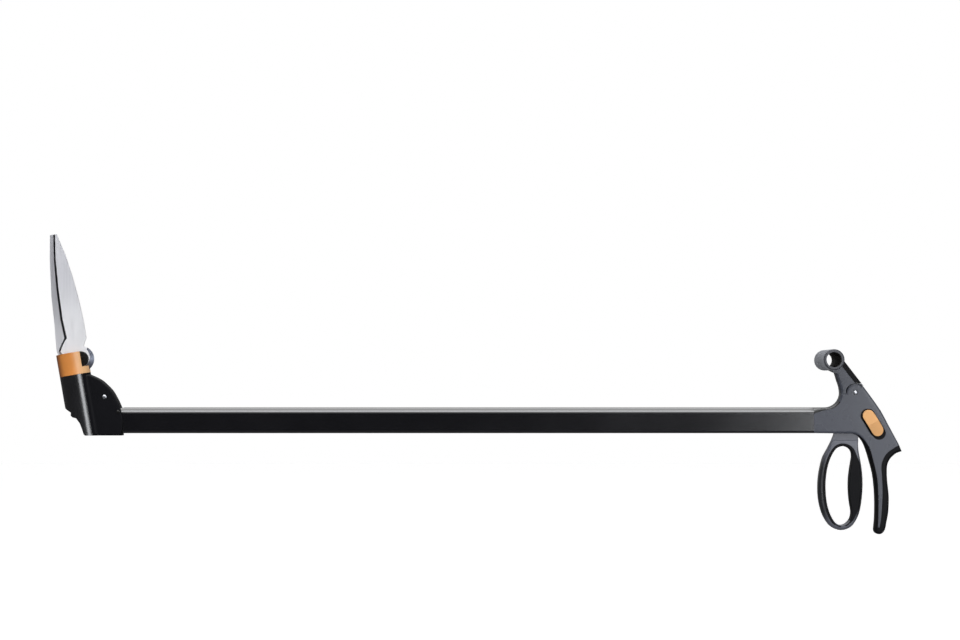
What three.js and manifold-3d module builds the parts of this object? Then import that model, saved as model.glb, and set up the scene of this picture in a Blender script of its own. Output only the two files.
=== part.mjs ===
// Long handled edging shears. A pair of upright blades at the foot of a long
// rectangular shaft is worked by a trigger at its top, through a pull rod, a
// bellcrank and a plunger, and the blade head swivels on the shaft.
// Millimetres. X runs along the shaft towards the handle, Z is up, and the
// origin lies on the shaft's flat underside. All pieces are at rest, closed.
import * as THREE from 'three';
import { mergeVertices } from 'three/addons/utils/BufferGeometryUtils.js';
import Module from 'manifold-3d';

const wasm = await Module();
wasm.setup();

// Clearances, and how finely round shapes are stepped
const gap = 0.3;
const runningGap = 0.5;
const overrun = 6;
const farOff = 400;
const arcSteps = 4;
const splineSteps = 2;
const roundSides = 32;
const smallSides = 16;
const nutSides = 6;
const shrinkSteps = 8;

// Shaft, a rectangular tube
const shaftFront = -478;
const shaftRear = 416;
const shaftWidth = 22;
const shaftHeight = 32;
const shaftCorner = 8;
const shaftWall = 1.6;
const shaftSwage = 0.3;

// Pull rod in the middle of the shaft, its guides, spring and clevises
const rodHeight = 16;
const rodRadius = 3;
const guideLength = 14;
const guideSpacing = 260;
const guideCount = 3;
const springLength = 46;
const springRadius = 6;
const springWire = 1.8;
const seatThickness = 2;
const clevisHeight = 11;
const clevisBase = 6;
const cheekThickness = 2.7;
const clevisPinRadius = 2;

// Handle body, measured from the shaft's rear end and underside
const bodyReach = 111;
const bodyDrop = 126;
const bodyEdge = 3;
const bodyWall = 2.4;
const filletStep = 6.7;
const filletDrop = 0.1;
const bossRadius = 11.5;
const spigotLength = 30;
const spigotWall = 2;
const padThickness = 2.2;
const padProud = 0.4;
const padEdge = 4;
const coreInset = 2.6;
const gripWall = 2;

// Trigger, measured from the same corner as the handle body
const pivotAcrossShare = 0.466216;
const pivotHeight = 50.4;
const pivotPinRadius = 2.5;
const bushWall = 1.3;
const leverThickness = 10;
const leverBossRadius = 8;
const leverNeckHalf = 6.2;
const triggerSwing = THREE.MathUtils.degToRad(11.65);
const loopLeftShare = 0.040541;
const loopWidthShare = 0.522523;
const loopHeight = 122;
const loopThickness = 18;
const loopEdge = 3.5;
const loopTop = 8.5;
const strapTop = 3;
const triggerPadProud = 0.5;

// Support arm and the crossbar it carries, from the same corner
const crossbarAcrossShare = 0.184685;
const crossbarRise = 40.85;
const crossbarRadius = 13;
const crossbarBore = 9.5;
const crossbarLength = 98;
const sleeveWall = 1.1;
const endRound = 1.1;
const armThickness = 21.2;
const forkThickness = 2.8;
const forkRadius = 9;
const insertStart = 9;
const insertLength = 38;
const insertDepth = 6;
const insertProud = 0.3;

// Lock button on the handle's side
const lockAcrossShare = 0.661261;
const lockHeight = 12.8;
const lockLean = THREE.MathUtils.degToRad(59);
const lockLength = 36;
const lockWidth = 14.4;
const lockTravel = 4;
const lockRise = 5.2;
const lockLip = 1;
const pocketDepth = 1.4;
const pocketMargin = 1.2;
const lockStem = 5;
const boltThickness = 2.4;
const boltReachShare = 1.1706;
const boltTail = 14;
const boltWidth = 6;
const boltNose = 9;

// Blade head, measured from where its tilted axis meets the underside
const headPlace = -492.8;
const headTilt = THREE.MathUtils.degToRad(10);
const headReach = 48.6;
const headHeight = 74.4;
const headSole = 2.9;
const headThickness = 25.6;
const headEdge = 2;
const webFillet = 8;
const barrelRadius = 19.4;
const barrelTop = 73.4;
const boreFoot = 26;

// Bellcrank in the head
const crankAcross = 25.3;
const crankHeight = 45.25;
const crankDrop = 29.25;
const crankThickness = 5;
const crankArmWidth = 10;
const crankPinRadius = 2.5;
const crankHub = 7.5;
const tineThickness = 2.5;
const tineTip = 3.4;
const crankClear = 1.2;

// Swivel: carrier, collar, plunger and their places along the tilted axis
const carrierFoot = 52;
const carrierRadius = 16;
const carrierFlange = 17.6;
const flangeRise = 4;
const flangeHeight = 3;
const carrierNeck = 17.3;
const carrierRise = 6;
const collarHeight = 27.7;
const collarRadius = 19.4;
const collarWall = 1.8;
const windowSill = 8.6;
const windowStart = THREE.MathUtils.degToRad(39);
const windowEnd = THREE.MathUtils.degToRad(150);
const plungerFlange = 9;
const plungerFlangeHeight = 2.5;
const plungerCore = 4;
const plungerStem = 4.4;
const stemTop = 67;
const tongueRise = 1;
const tongueWidth = 9.8;
const tongueThickness = 4.4;
const detentRadius = 2.4;
const detentDrop = 7.4;

// Blades, screwed to each other at the pivot
const pivotAside = 10.8;
const lobeClear = 2.4;
const bladeThickness = 3.1;
const bladeReach = 160;
const bladeSpan = 24;
const lobeRadius = 16.2;
const fixedLobeRadius = 13;
const driveArm = 15;
const drivePinRadius = 2;
const driveLug = 4;
const pivotScrewRadius = 3.5;
const pivotHeadRadius = 8;
const pivotHeadHeight = 3.4;
const nutRadius = 6.8;
const nutHeight = 4;
const washerThickness = 1;
const carrierRivetRadius = 2;
const carrierRivetAside = -12;
const carrierRivetDrop = 11;

// Screws and pins that hold the shells
const screwRadius = 1.5;
const screwHeadRadius = 3;
const screwHeadHeight = 1.8;
const screwRecess = 0.4;
const screwBoss = 3.6;
const tubePinRadius = 2;

// Places worked out from the sizes above
const pivotAcross = pivotAcrossShare * bodyReach;
const crossbarAcross = crossbarAcrossShare * bodyReach;
const crossbarHeight = pivotHeight + crossbarRise;
const lockAcross = lockAcrossShare * bodyReach;
const loopLeft = loopLeftShare * bodyReach;
const loopWidth = loopWidthShare * bodyReach;
const filletRadius = pivotHeight - shaftHeight - filletDrop;
const filletStart = pivotAcross - bossRadius - filletStep - filletRadius;
const bladePivotHeight = barrelTop + lobeClear + lobeRadius;
const bladeSlotFoot = bladePivotHeight - lobeRadius - 2 * runningGap;
const carrierTop = bladePivotHeight + carrierRise;
const carrierRivetHeight = bladePivotHeight - carrierRivetDrop;
const collarStart = barrelTop + gap;
const collarBore = collarRadius - collarWall;
const lobeSlotFoot = bladePivotHeight - Math.sqrt(lobeRadius ** 2 - (collarBore - pivotAside) ** 2);
const flangeStart = carrierFoot + flangeRise;
const tongueStart = carrierFoot + flangeRise;
const tongueTop = bladePivotHeight + tongueRise;
const detentPlace = barrelTop - detentDrop;
const halfShaft = shaftWidth / 2;
const halfBody = halfShaft;
const boreHalf = halfShaft - shaftWall;
const rodTravel = 2 * (pivotHeight - rodHeight) * Math.sin(triggerSwing / 2);
const crankSwing = 2 * Math.asin(rodTravel / 2 / crankDrop);
const crankFromAxis = crankAcross * Math.cos(headTilt) + crankHeight * Math.sin(headTilt);
const grooveMiddle = crankHeight * Math.cos(headTilt) - crankAcross * Math.sin(headTilt);
const plungerTravel = 2 * crankFromAxis * Math.sin(crankSwing / 2);
const grooveHeight = grooveMiddle - plungerTravel / 2;
const driveRestAngle = Math.asin(plungerTravel / 2 / driveArm);
const driveAside = pivotAside - driveArm * Math.cos(driveRestAngle);
const driveHeight = bladePivotHeight - plungerTravel / 2;
const rearPin = pivotAcross + rodTravel / 2;
const frontPin = headPlace + crankAcross + rodTravel / 2;
const leverHalf = leverThickness / 2;
const cheekInner = leverHalf + gap;
const cavityHalf = halfBody - bodyWall;
const coreHalf = halfBody - coreInset;
const bushRadius = pivotPinRadius + gap + bushWall;
const tineInner = plungerCore + 2 * gap;
const tineOuter = tineInner + tineThickness;

// Colours and finishes
const finish = (color, roughness, metalness) =>
  new THREE.MeshStandardMaterial({ color, roughness, metalness, flatShading: true });
const paintedTube = finish(0x1d1d22, 0.42, 0.3);
const headPlastic = finish(0x17171a, 0.45, 0);
const handlePlastic = finish(0x3e4046, 0.5, 0);
const softRubber = finish(0x121215, 0.75, 0);
const crossbarSkin = finish(0x55585f, 0.8, 0);
const orangePlastic = finish(0xd8842f, 0.45, 0);
const bladeSteel = finish(0xc4c5ca, 0.38, 0.9);
const plainSteel = finish(0x9a9ca1, 0.35, 0.9);
const blackSteel = finish(0x1a1a1c, 0.4, 0.7);
const paleNylon = finish(0xd8d6ce, 0.6, 0);

// Solids from three.js geometry, and joins and cuts of them
function solid(geometry) {
  geometry.deleteAttribute('normal');
  geometry.deleteAttribute('uv');
  const merged = mergeVertices(geometry);
  return new wasm.Manifold(new wasm.Mesh({
    numProp: 3,
    vertProperties: new Float32Array(merged.attributes.position.array),
    triVerts: new Uint32Array(merged.index.array),
  }));
}

function geometryOf(body) {
  const mesh = body.getMesh();
  const geometry = new THREE.BufferGeometry();
  geometry.setAttribute('position', new THREE.BufferAttribute(mesh.vertProperties, 3));
  geometry.setIndex(new THREE.BufferAttribute(mesh.triVerts, 1));
  geometry.computeVertexNormals();
  return geometry;
}

function piece(name, shape, material) {
  const geometry = shape.isBufferGeometry ? shape : geometryOf(shape);
  const mesh = new THREE.Mesh(geometry, material);
  mesh.name = name;
  return mesh;
}

const join = (first, ...rest) => rest.reduce((whole, next) => whole.add(next), first);
const cut = (first, ...rest) => rest.reduce((whole, next) => whole.subtract(next), first);

// A flat outline drawn in X and Z, from points or from shares of a size
const outline = (pairs) => new THREE.Shape(pairs.map(([x, z]) => new THREE.Vector2(x, z)));
const spread = (shares, width, height) =>
  shares.map(([across, up]) => new THREE.Vector2(across * width, up * height));

function smooth(points) {
  return new THREE.SplineCurve(points).getPoints((points.length - 1) * splineSteps);
}

// A plate of that outline between two places on Y, with rounded face edges
function plate(shape, low, high, edge = 0) {
  const geometry = new THREE.ExtrudeGeometry(shape, {
    depth: high - low - 2 * edge,
    bevelEnabled: edge > 0,
    bevelThickness: edge,
    bevelSize: edge,
    bevelOffset: -edge,
    bevelSegments: 2,
    curveSegments: arcSteps,
  });
  return geometry.rotateX(Math.PI / 2).translate(0, high - edge, 0);
}

const slab = (shape, low, high, edge) => solid(plate(shape, low, high, edge));

// A bar of a Y and Z outline between two places on X
function bar(shape, front, rear) {
  const geometry = new THREE.ExtrudeGeometry(shape, {
    depth: rear - front,
    bevelEnabled: false,
    curveSegments: arcSteps,
  });
  return solid(geometry.rotateX(Math.PI / 2).rotateZ(Math.PI / 2).translate(front, 0, 0));
}

function block(x, y, z) {
  const geometry = new THREE.BoxGeometry(x[1] - x[0], y[1] - y[0], z[1] - z[0]);
  return solid(geometry.translate((x[0] + x[1]) / 2, (y[0] + y[1]) / 2, (z[0] + z[1]) / 2));
}

// A round pin or hole along Y, and a turned shape about Y, X or Z
function pin(radius, low, high, across = 0, height = 0, sides = smallSides) {
  const geometry = new THREE.CylinderGeometry(radius, radius, high - low, sides);
  return solid(geometry.translate(across, (low + high) / 2, height));
}

const turned = (profile, sides = roundSides) =>
  new THREE.LatheGeometry(profile.map(([r, h]) => new THREE.Vector2(r, h)), sides);
const turnedUp = (profile, sides) => turned(profile, sides).rotateX(Math.PI / 2);
const turnedAlong = (profile, sides) => turned(profile, sides).rotateZ(-Math.PI / 2);

const drum = (radius, foot, top) => [[0, foot], [radius, foot], [radius, top], [0, top]];
const ring = (bore, radius, foot, top) =>
  [[bore, foot], [radius, foot], [radius, top], [bore, top], [bore, foot]];

// The same outline drawn in by a wall's thickness on every side
function drawnIn(shape, wall, low, high) {
  let core = slab(shape, low, high);
  for (let step = 0; step < shrinkSteps; step += 1) {
    const angle = (step / shrinkSteps) * 2 * Math.PI;
    const moved = plate(shape, low - overrun, high + overrun);
    moved.translate(wall * Math.cos(angle), 0, wall * Math.sin(angle));
    core = core.intersect(solid(moved));
  }
  return core;
}

function roundedRectangle(width, height, corner, inset = 0) {
  const half = width / 2 - inset;
  const low = inset;
  const high = height - inset;
  const radius = corner - inset;
  const shape = new THREE.Shape();
  shape.absarc(half - radius, low + radius, radius, -Math.PI / 2, 0);
  shape.absarc(half - radius, high - radius, radius, 0, Math.PI / 2);
  shape.absarc(radius - half, high - radius, radius, Math.PI / 2, Math.PI);
  shape.absarc(radius - half, low + radius, radius, Math.PI, 1.5 * Math.PI);
  return shape;
}

function stadium(length, width) {
  const straight = (length - width) / 2;
  const shape = new THREE.Shape();
  shape.absarc(straight, 0, width / 2, -Math.PI / 2, Math.PI / 2);
  shape.absarc(-straight, 0, width / 2, Math.PI / 2, 1.5 * Math.PI);
  return shape;
}

const shaftSection = (inset) => roundedRectangle(shaftWidth, shaftHeight, shaftCorner, inset);

// Fastener places, as shares of the handle body and of the head
const handleScrewShares = [[0.198, 0.214], [0.631, 0.286], [0.847, -0.095],
  [0.747, -0.4], [0.762, -0.73]];
const headScrewShares = [[0.083, 0.12], [0.772, 0.504], [0.288, 0.806]];
const tubePinShare = 0.87;
const tubePinHeightShare = 0.84;
const shaftScrewShare = 0.5;
const handleScrews = spread(handleScrewShares, bodyReach, bodyDrop);
const headScrews = spread(headScrewShares, headReach, headHeight);
const tubePinAcross = tubePinShare * headReach;
const tubePinHeight = tubePinHeightShare * shaftHeight;
const shaftScrewAcross = -shaftScrewShare * spigotLength;

// Shaft: painted steel tube. Its front end is drawn in to fit the head's
// socket, and slotted for the bellcrank.
function makeShaft() {
  const socketMouth = headPlace + headReach + gap;
  const slotEnd = headPlace + crankAcross + crankArmWidth;
  const slotHalf = crankThickness / 2 + 2 * runningGap;
  const tube = cut(
    join(bar(shaftSection(0), socketMouth, shaftRear),
      bar(shaftSection(shaftSwage), shaftFront, socketMouth + overrun)),
    bar(shaftSection(shaftWall), shaftFront - overrun, shaftRear + overrun),
    block([shaftFront - overrun, slotEnd], [-slotHalf, slotHalf], [rodHeight, shaftHeight + overrun]),
    pin(tubePinRadius + gap, -shaftWidth, shaftWidth, headPlace + tubePinAcross, tubePinHeight),
    pin(screwRadius + gap, 0, shaftWidth, shaftRear + shaftScrewAcross, rodHeight),
  );
  return piece('shaft_tube', tube, paintedTube);
}

// Rod guides: nylon blocks that fill the tube and carry the rod
function makeGuides() {
  const guides = [];
  for (let index = 0; index < guideCount; index += 1) {
    const middle = (index - (guideCount - 1) / 2) * guideSpacing;
    const bore = turnedAlong(drum(rodRadius + gap, -guideLength, guideLength), smallSides);
    const guide = cut(
      bar(shaftSection(shaftWall + gap), -guideLength / 2, guideLength / 2),
      solid(bore.translate(0, 0, rodHeight)),
    );
    const mesh = piece(`rod_guide_${index + 1}`, guide, paleNylon);
    mesh.position.x = middle;
    guides.push(mesh);
  }
  return guides;
}

// Pull rod with a clevis at each end, and the spring that pushes it forward
const rearThroat = leverNeckHalf + clevisHeight * Math.sin(triggerSwing) / 2 + runningGap;
const frontThroat = crankArmWidth / 2 + clevisHeight * Math.sin(crankSwing) / 2 + 2 * runningGap;
const rodFront = frontPin + frontThroat + 2 * runningGap;
const rodRear = shaftRear + rearPin - rearThroat - 2 * runningGap;
const springRear = shaftRear - spigotLength - seatThickness - 2 * gap;
const springFront = springRear - springLength;

function makeRod() {
  const profile = drum(rodRadius, rodFront, rodRear);
  const rod = piece('pull_rod', turnedAlong(profile, smallSides), plainSteel);
  const collar = ring(rodRadius + gap, springRadius + gap, -seatThickness - gap, -gap);
  const stop = piece('spring_collar', turnedAlong(collar, smallSides), plainSteel);
  stop.position.x = springFront;
  const coil = ring(springRadius - springWire, springRadius, 0, springLength);
  const spring = piece('return_spring', turnedAlong(coil, smallSides), plainSteel);
  spring.position.x = springFront;
  const washer = ring(rodRadius + runningGap, boreHalf - runningGap, gap, seatThickness + gap);
  const seat = piece('spring_seat', turnedAlong(washer, smallSides), plainSteel);
  seat.position.x = springRear;
  const parts = [rod, stop, spring, seat];
  parts.forEach((part) => { part.position.z = rodHeight; });
  return parts;
}

// A clevis about its pin: two cheeks, and beyond the throat a base bored for
// the rod. It faces front or rear with the sign of its side.
function clevis(name, half, side, throat) {
  const reach = throat + clevisBase;
  const tall = [-clevisHeight, clevisHeight];
  const span = (from, to) => (side > 0 ? [from, to] : [-to, -from]);
  const shape = cut(
    join(
      pin(clevisHeight / 2, -half, half),
      block(span(0, reach), [-half, half], [-clevisHeight / 2, clevisHeight / 2]),
    ),
    block(span(-farOff, throat), [cheekThickness - half, half - cheekThickness], tall),
    solid(turnedAlong(drum(rodRadius + gap, throat + runningGap, farOff), smallSides)
      .scale(side, 1, side)),
    pin(clevisPinRadius + gap, -farOff, farOff),
  );
  return piece(name, shape, plainSteel);
}

function makeClevises() {
  const rearHalf = cheekInner + cheekThickness;
  const frontHalf = crankThickness / 2 + gap + cheekThickness;
  const rear = clevis('rear_clevis', rearHalf, -1, rearThroat);
  const front = clevis('front_clevis', frontHalf, 1, frontThroat);
  const rearBolt = piece('rear_clevis_pin', pin(clevisPinRadius, -rearHalf, rearHalf), plainSteel);
  const frontBolt = piece('front_clevis_pin', pin(clevisPinRadius, -frontHalf, frontHalf), plainSteel);
  [rear, rearBolt].forEach((part) => part.position.set(shaftRear + rearPin, 0, rodHeight));
  [front, frontBolt].forEach((part) => part.position.set(frontPin, 0, rodHeight));
  return [rear, rearBolt, front, frontBolt];
}

// Handle body outline, as shares of its reach, and of the pivot's height
// above the shaft's underside or of the body's drop below it
const upperEdgeShares = [[0.557, 1.1575], [0.646, 0.8925], [0.754, 0.55], [0.836, 0.21]];
const lowerEdgeShares = [[0.927, -0.065], [0.957, -0.115]];
const heelShare = [0.988, -0.179];
const webShares = [[0.929, -0.196], [0.875, -0.234], [0.84, -0.278], [0.824, -0.322], [0.82, -0.377],
  [0.824, -0.476], [0.838, -0.585], [0.841, -0.665], [0.834, -0.784], [0.815, -0.873], [0.797, -0.952],
  [0.764, -0.99], [0.725, -0.999], [0.693, -0.985], [0.68, -0.952]];
const frontShares = [[0.691, -0.853], [0.695, -0.714], [0.69, -0.556], [0.669, -0.397], [0.634, -0.278],
  [0.594, -0.159], [0.554, -0.079], [0.502, -0.028], [0.441, -0.004]];
const bossEndTurn = THREE.MathUtils.degToRad(50);

function bodyOutline() {
  const shape = new THREE.Shape();
  shape.moveTo(gap, 0);
  shape.lineTo(gap, shaftHeight);
  shape.lineTo(filletStart, shaftHeight);
  shape.absarc(filletStart, shaftHeight + filletRadius, filletRadius, -Math.PI / 2, 0);
  shape.absarc(pivotAcross, pivotHeight, bossRadius, Math.PI, bossEndTurn, true);
  const upper = spread(upperEdgeShares, bodyReach, pivotHeight);
  const rearEdge = smooth([...upper, ...spread(lowerEdgeShares, bodyReach, bodyDrop)]);
  const heel = spread([heelShare], bodyReach, bodyDrop);
  const grip = smooth(spread([...webShares, ...frontShares], bodyReach, bodyDrop));
  [...rearEdge, ...heel, ...grip].forEach((at) => shape.lineTo(at.x, at.y));
  return shape;
}

// The hard middle of the handle, which the soft grip leaves bare
const faceFrontShares = [[0.45, -0.02], [0.503, -0.018], [0.575, -0.079], [0.62, -0.138], [0.648, -0.21],
  [0.67, -0.288], [0.692, -0.367], [0.71, -0.45], [0.718, -0.54], [0.722, -0.685], [0.719, -0.843],
  [0.713, -0.93]];
const faceRearShares = [[0.73, -0.93], [0.749, -0.843], [0.763, -0.685], [0.766, -0.54], [0.759, -0.41],
  [0.754, -0.345], [0.764, -0.282], [0.8, -0.216], [0.852, -0.173], [0.932, -0.128], [1.05, -0.065]];

function faceOutline() {
  const shape = new THREE.Shape();
  shape.moveTo(-farOff, -farOff);
  shape.lineTo(faceFrontShares[0][0] * bodyReach, -farOff);
  [faceFrontShares, faceRearShares].forEach((shares) => {
    smooth(spread(shares, bodyReach, bodyDrop)).forEach((at) => shape.lineTo(at.x, at.y));
  });
  shape.lineTo(farOff, 0);
  shape.lineTo(farOff, farOff);
  shape.lineTo(-farOff, farOff);
  return shape;
}

// The slot under the handle in which the trigger swings
function triggerSlot() {
  const half = leverHalf + 2 * gap;
  const [across, height] = loopPoint(neckShares[2]);
  const swung = (across - pivotAcross) * Math.cos(triggerSwing)
    + (height - pivotHeight) * Math.sin(triggerSwing);
  const front = pivotAcross + swung - bodyEdge - runningGap;
  const rear = loopLeft + loopWidth * neckShares[neckShares.length - 1][0] + runningGap;
  return block([front, rear], [-half, half], [-loopTop, bodyWall + 2 * runningGap + bodyEdge]);
}

// The lock's pocket, cut through a shorter slot for its stem
function lockPocket() {
  const long = lockLength + lockTravel + 2 * pocketMargin;
  const wide = lockWidth + 2 * pocketMargin;
  const pocket = plate(stadium(long, wide), -farOff, pocketDepth - halfBody);
  const slotLong = lockStem + lockTravel + 4 * gap;
  const slot = plate(stadium(slotLong + lockStem, lockStem + 2 * gap), -halfBody, -leverHalf);
  return [pocket, slot].map((shape) => {
    shape.translate(lockTravel / 2, 0, 0).rotateY(lockLean);
    return solid(shape.translate(lockAcross, 0, lockHeight));
  });
}

// The fork of the support arm, let into the top of the body
function forkOutline(clearance) {
  const half = forkRadius + clearance;
  const top = pivotHeight + bossRadius + forkThickness;
  const shape = new THREE.Shape();
  shape.absarc(pivotAcross, pivotHeight, half, Math.PI, 2 * Math.PI);
  shape.lineTo(pivotAcross + half - forkThickness, top);
  shape.lineTo(pivotAcross - half + forkThickness, top);
  return shape;
}

function makeHandleShells() {
  const body = bodyOutline();
  const face = slab(faceOutline(), -farOff, farOff);
  const gripWallIn = padThickness + gap + gripWall;
  let whole = slab(body, -halfBody, halfBody, bodyEdge).intersect(face);
  whole = join(whole, drawnIn(body, padThickness + gap, -coreHalf, coreHalf));
  const bossSink = cavityHalf + runningGap;
  const upper = drawnIn(body, bodyWall, -cavityHalf, cavityHalf);
  const rib = bodyDrop * faceFrontShares[2][1];
  const gripHalf = coreHalf - gripWall;
  const hollow = join(
    upper.intersect(block([-farOff, farOff], [-farOff, farOff], [rib, farOff])),
    drawnIn(body, gripWallIn, -gripHalf, gripHalf),
  );
  const bosses = handleScrews.map((at) => pin(screwBoss, -bossSink, bossSink, at.x, at.y));
  const inside = cut(hollow, ...bosses);
  const spigot = bar(shaftSection(shaftWall + gap), -spigotLength, bodyWall);
  const spigotHollow = bar(shaftSection(shaftWall + gap + spigotWall), -farOff, 2 * bodyWall);
  const forkHalf = cheekInner + forkThickness + gap;
  whole = cut(
    join(whole, spigot),
    inside,
    spigotHollow,
    slab(forkOutline(gap), -forkHalf, forkHalf),
    pin(pivotPinRadius + gap, -farOff, farOff, pivotAcross, pivotHeight),
    triggerSlot(),
  );
  const screwFoot = -halfBody + bodyWall;
  const headSeat = halfBody - screwHeadHeight - screwRecess;
  const holes = handleScrews.flatMap((at, index) => {
    const deep = index < handleScrews.length - 2 ? 0 : halfBody - coreHalf;
    return [
      pin(screwRadius + gap, screwFoot - gap, farOff, at.x, at.y),
      pin(screwHeadRadius + gap, headSeat - deep - gap, farOff, at.x, at.y),
    ];
  });
  const drilled = cut(
    whole, ...holes,
    pin(screwRadius + gap, 0, farOff, shaftScrewAcross, rodHeight),
  );
  const left = block([-farOff, farOff], [-farOff, -gap / 2], [-farOff, farOff]);
  const right = block([-farOff, farOff], [gap / 2, farOff], [-farOff, farOff]);
  return [
    piece('handle_shell_left', cut(drilled.intersect(left), ...lockPocket()), handlePlastic),
    piece('handle_shell_right', drilled.intersect(right), handlePlastic),
  ];
}

// Soft grip: rubber moulded round the front, toe and back of the handle
function makeGripPad() {
  const body = bodyOutline();
  const half = halfBody + padProud;
  const shiftedFaces = [[0, 0], [-gap, 0], [gap, 0], [0, -gap]].map(([x, z]) =>
    solid(plate(faceOutline(), -farOff, farOff).translate(x, 0, z)));
  const coreGap = coreHalf + gap;
  const pad = cut(
    slab(body, -half, half, padEdge),
    ...shiftedFaces,
    drawnIn(body, padThickness, -coreGap, coreGap),
    triggerSlot(),
  );
  return piece('grip_pad', pad, softRubber);
}

// Trigger outlines, as shares of the loop: neck, outside, hole and soft pad
const neckShares = [[0.39, 0.024], [0.386, -0.016], [0.362, 0.02], [0.245, 0.16], [0.3, 0.2],
  [0.84, 0.2], [0.885, 0.09], [0.885, -0.016]];
const loopShares = [[0.318, 0.075], [0.225, 0.161], [0.13, 0.242], [0.068, 0.348], [0.03, 0.454],
  [0.02, 0.554], [0.03, 0.655], [0.07, 0.752], [0.139, 0.84], [0.252, 0.92], [0.383, 0.961],
  [0.509, 0.973], [0.645, 0.959], [0.765, 0.92], [0.868, 0.84], [0.923, 0.757], [0.959, 0.645],
  [0.975, 0.524], [0.965, 0.403], [0.929, 0.282], [0.886, 0.171], [0.878, 0.075]];
const holeShares = [[0.541, 0.129], [0.424, 0.146], [0.332, 0.199], [0.25, 0.282], [0.195, 0.383],
  [0.167, 0.504], [0.173, 0.625], [0.208, 0.736], [0.28, 0.832], [0.38, 0.902], [0.509, 0.928],
  [0.626, 0.91], [0.72, 0.857], [0.742, 0.78], [0.706, 0.68], [0.688, 0.565], [0.695, 0.444],
  [0.732, 0.323], [0.76, 0.247], [0.75, 0.189], [0.668, 0.144]];
const padInnerShares = [[0.741, 0.8], [0.742, 0.78], [0.706, 0.68], [0.688, 0.565], [0.695, 0.444],
  [0.732, 0.323], [0.76, 0.247], [0.757, 0.215]];
const padOuterShares = [[0.785, 0.235], [0.82, 0.29], [0.85, 0.393], [0.862, 0.524], [0.847, 0.655],
  [0.81, 0.745], [0.762, 0.8]];
const loopPoint = ([across, down]) => [loopLeft + across * loopWidth, -down * loopHeight];
const loopPoints = (shares) => shares.map((share) => new THREE.Vector2(...loopPoint(share)));

function makeTrigger() {
  const stem = outline([
    [pivotAcross - leverBossRadius, pivotHeight],
    [rearPin - leverNeckHalf, rodHeight + clevisHeight],
    [rearPin - leverNeckHalf, rodHeight - 0.8 * clevisHeight],
    [rearPin - 1.5 * leverNeckHalf, strapTop],
    loopPoint([neckShares[0][0], -strapTop / loopHeight]),
    ...neckShares.slice(1).map(loopPoint),
    [rearPin + leverNeckHalf / 2, clevisHeight],
    [rearPin + leverNeckHalf, rodHeight],
    [pivotAcross + leverBossRadius, pivotHeight],
  ]);
  const rim = new THREE.Shape(smooth(loopPoints(loopShares)));
  const holeCurve = loopPoints([...holeShares, holeShares[0]]);
  const padShape = new THREE.Shape([
    ...smooth(loopPoints(padInnerShares)), ...smooth(loopPoints(padOuterShares)),
  ]);
  const half = loopThickness / 2;
  const padHalf = half + triggerPadProud;
  const shifts = [[gap, 0], [-gap, 0], [-4 * gap, gap], [-4 * gap, -gap], [0, gap], [0, -gap]];
  const seats = shifts.map(([x, z]) =>
    solid(plate(padShape, -farOff, farOff).translate(x, 0, z)));
  const holeGap = slab(new THREE.Shape(smooth(holeCurve).slice(0, -1)), -farOff, farOff);
  const loop = slab(rim, -half, half, loopEdge);
  const lever = cut(
    join(slab(stem, -leverHalf, leverHalf), loop,
      pin(leverBossRadius, -leverHalf, leverHalf, pivotAcross, pivotHeight, roundSides)),
    holeGap,
    pin(bushRadius + gap, -farOff, farOff, pivotAcross, pivotHeight),
    pin(clevisPinRadius + runningGap, -farOff, farOff, rearPin, rodHeight),
    ...seats,
  );
  const pad = slab(padShape, -padHalf, padHalf);
  return [
    piece('trigger_lever', lever, handlePlastic),
    piece('trigger_pad', pad, softRubber),
  ];
}

// Pivot pin and the bush that the trigger turns on
function makePivot() {
  const length = halfBody + gap;
  const bush = ring(pivotPinRadius + gap, bushRadius, -leverHalf, leverHalf);
  const parts = [
    piece('trigger_pivot_pin', pin(pivotPinRadius, -length, length), plainSteel),
    piece('trigger_bush', turned(bush, smallSides), paleNylon),
  ];
  parts.forEach((part) => part.position.set(pivotAcross, 0, pivotHeight));
  return parts;
}

// Support arm: a forked moulding that clips over the pivot and rings the bar.
// Its left edge is in shares of the body's reach and of the bar's rise.
const armLeftShares = [[0.243, 0.602], [0.257, 0.481], [0.27, 0.358], [0.287, 0.234],
  [0.296, 0.114], [0.301, 0.009]];
const armTopTurn = THREE.MathUtils.degToRad(38.4);

function armRearEdge() {
  const top = new THREE.Vector2(
    crossbarAcross + crossbarRadius * Math.cos(armTopTurn),
    crossbarHeight + crossbarRadius * Math.sin(armTopTurn),
  );
  const [foot] = spread(upperEdgeShares, bodyReach, pivotHeight);
  foot.y += 2 * gap;
  const along = foot.clone().sub(top).normalize();
  const inward = new THREE.Vector2(along.y, -along.x);
  return { top, foot, along, inward };
}

function insertOutline(clearance) {
  const { top, along, inward } = armRearEdge();
  const place = (run, depth) => top.clone().addScaledVector(along, run).addScaledVector(inward, depth);
  const beyond = clearance > 0 ? overrun : 0;
  const deep = insertDepth + clearance;
  const start = insertStart - 2 * clearance;
  const end = insertStart + insertLength + 2 * clearance;
  return new THREE.Shape([
    place(start - beyond / 2, -beyond),
    place(start + deep / 2, deep),
    place(end - deep, deep),
    place(end + beyond, -beyond),
  ]);
}

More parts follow.
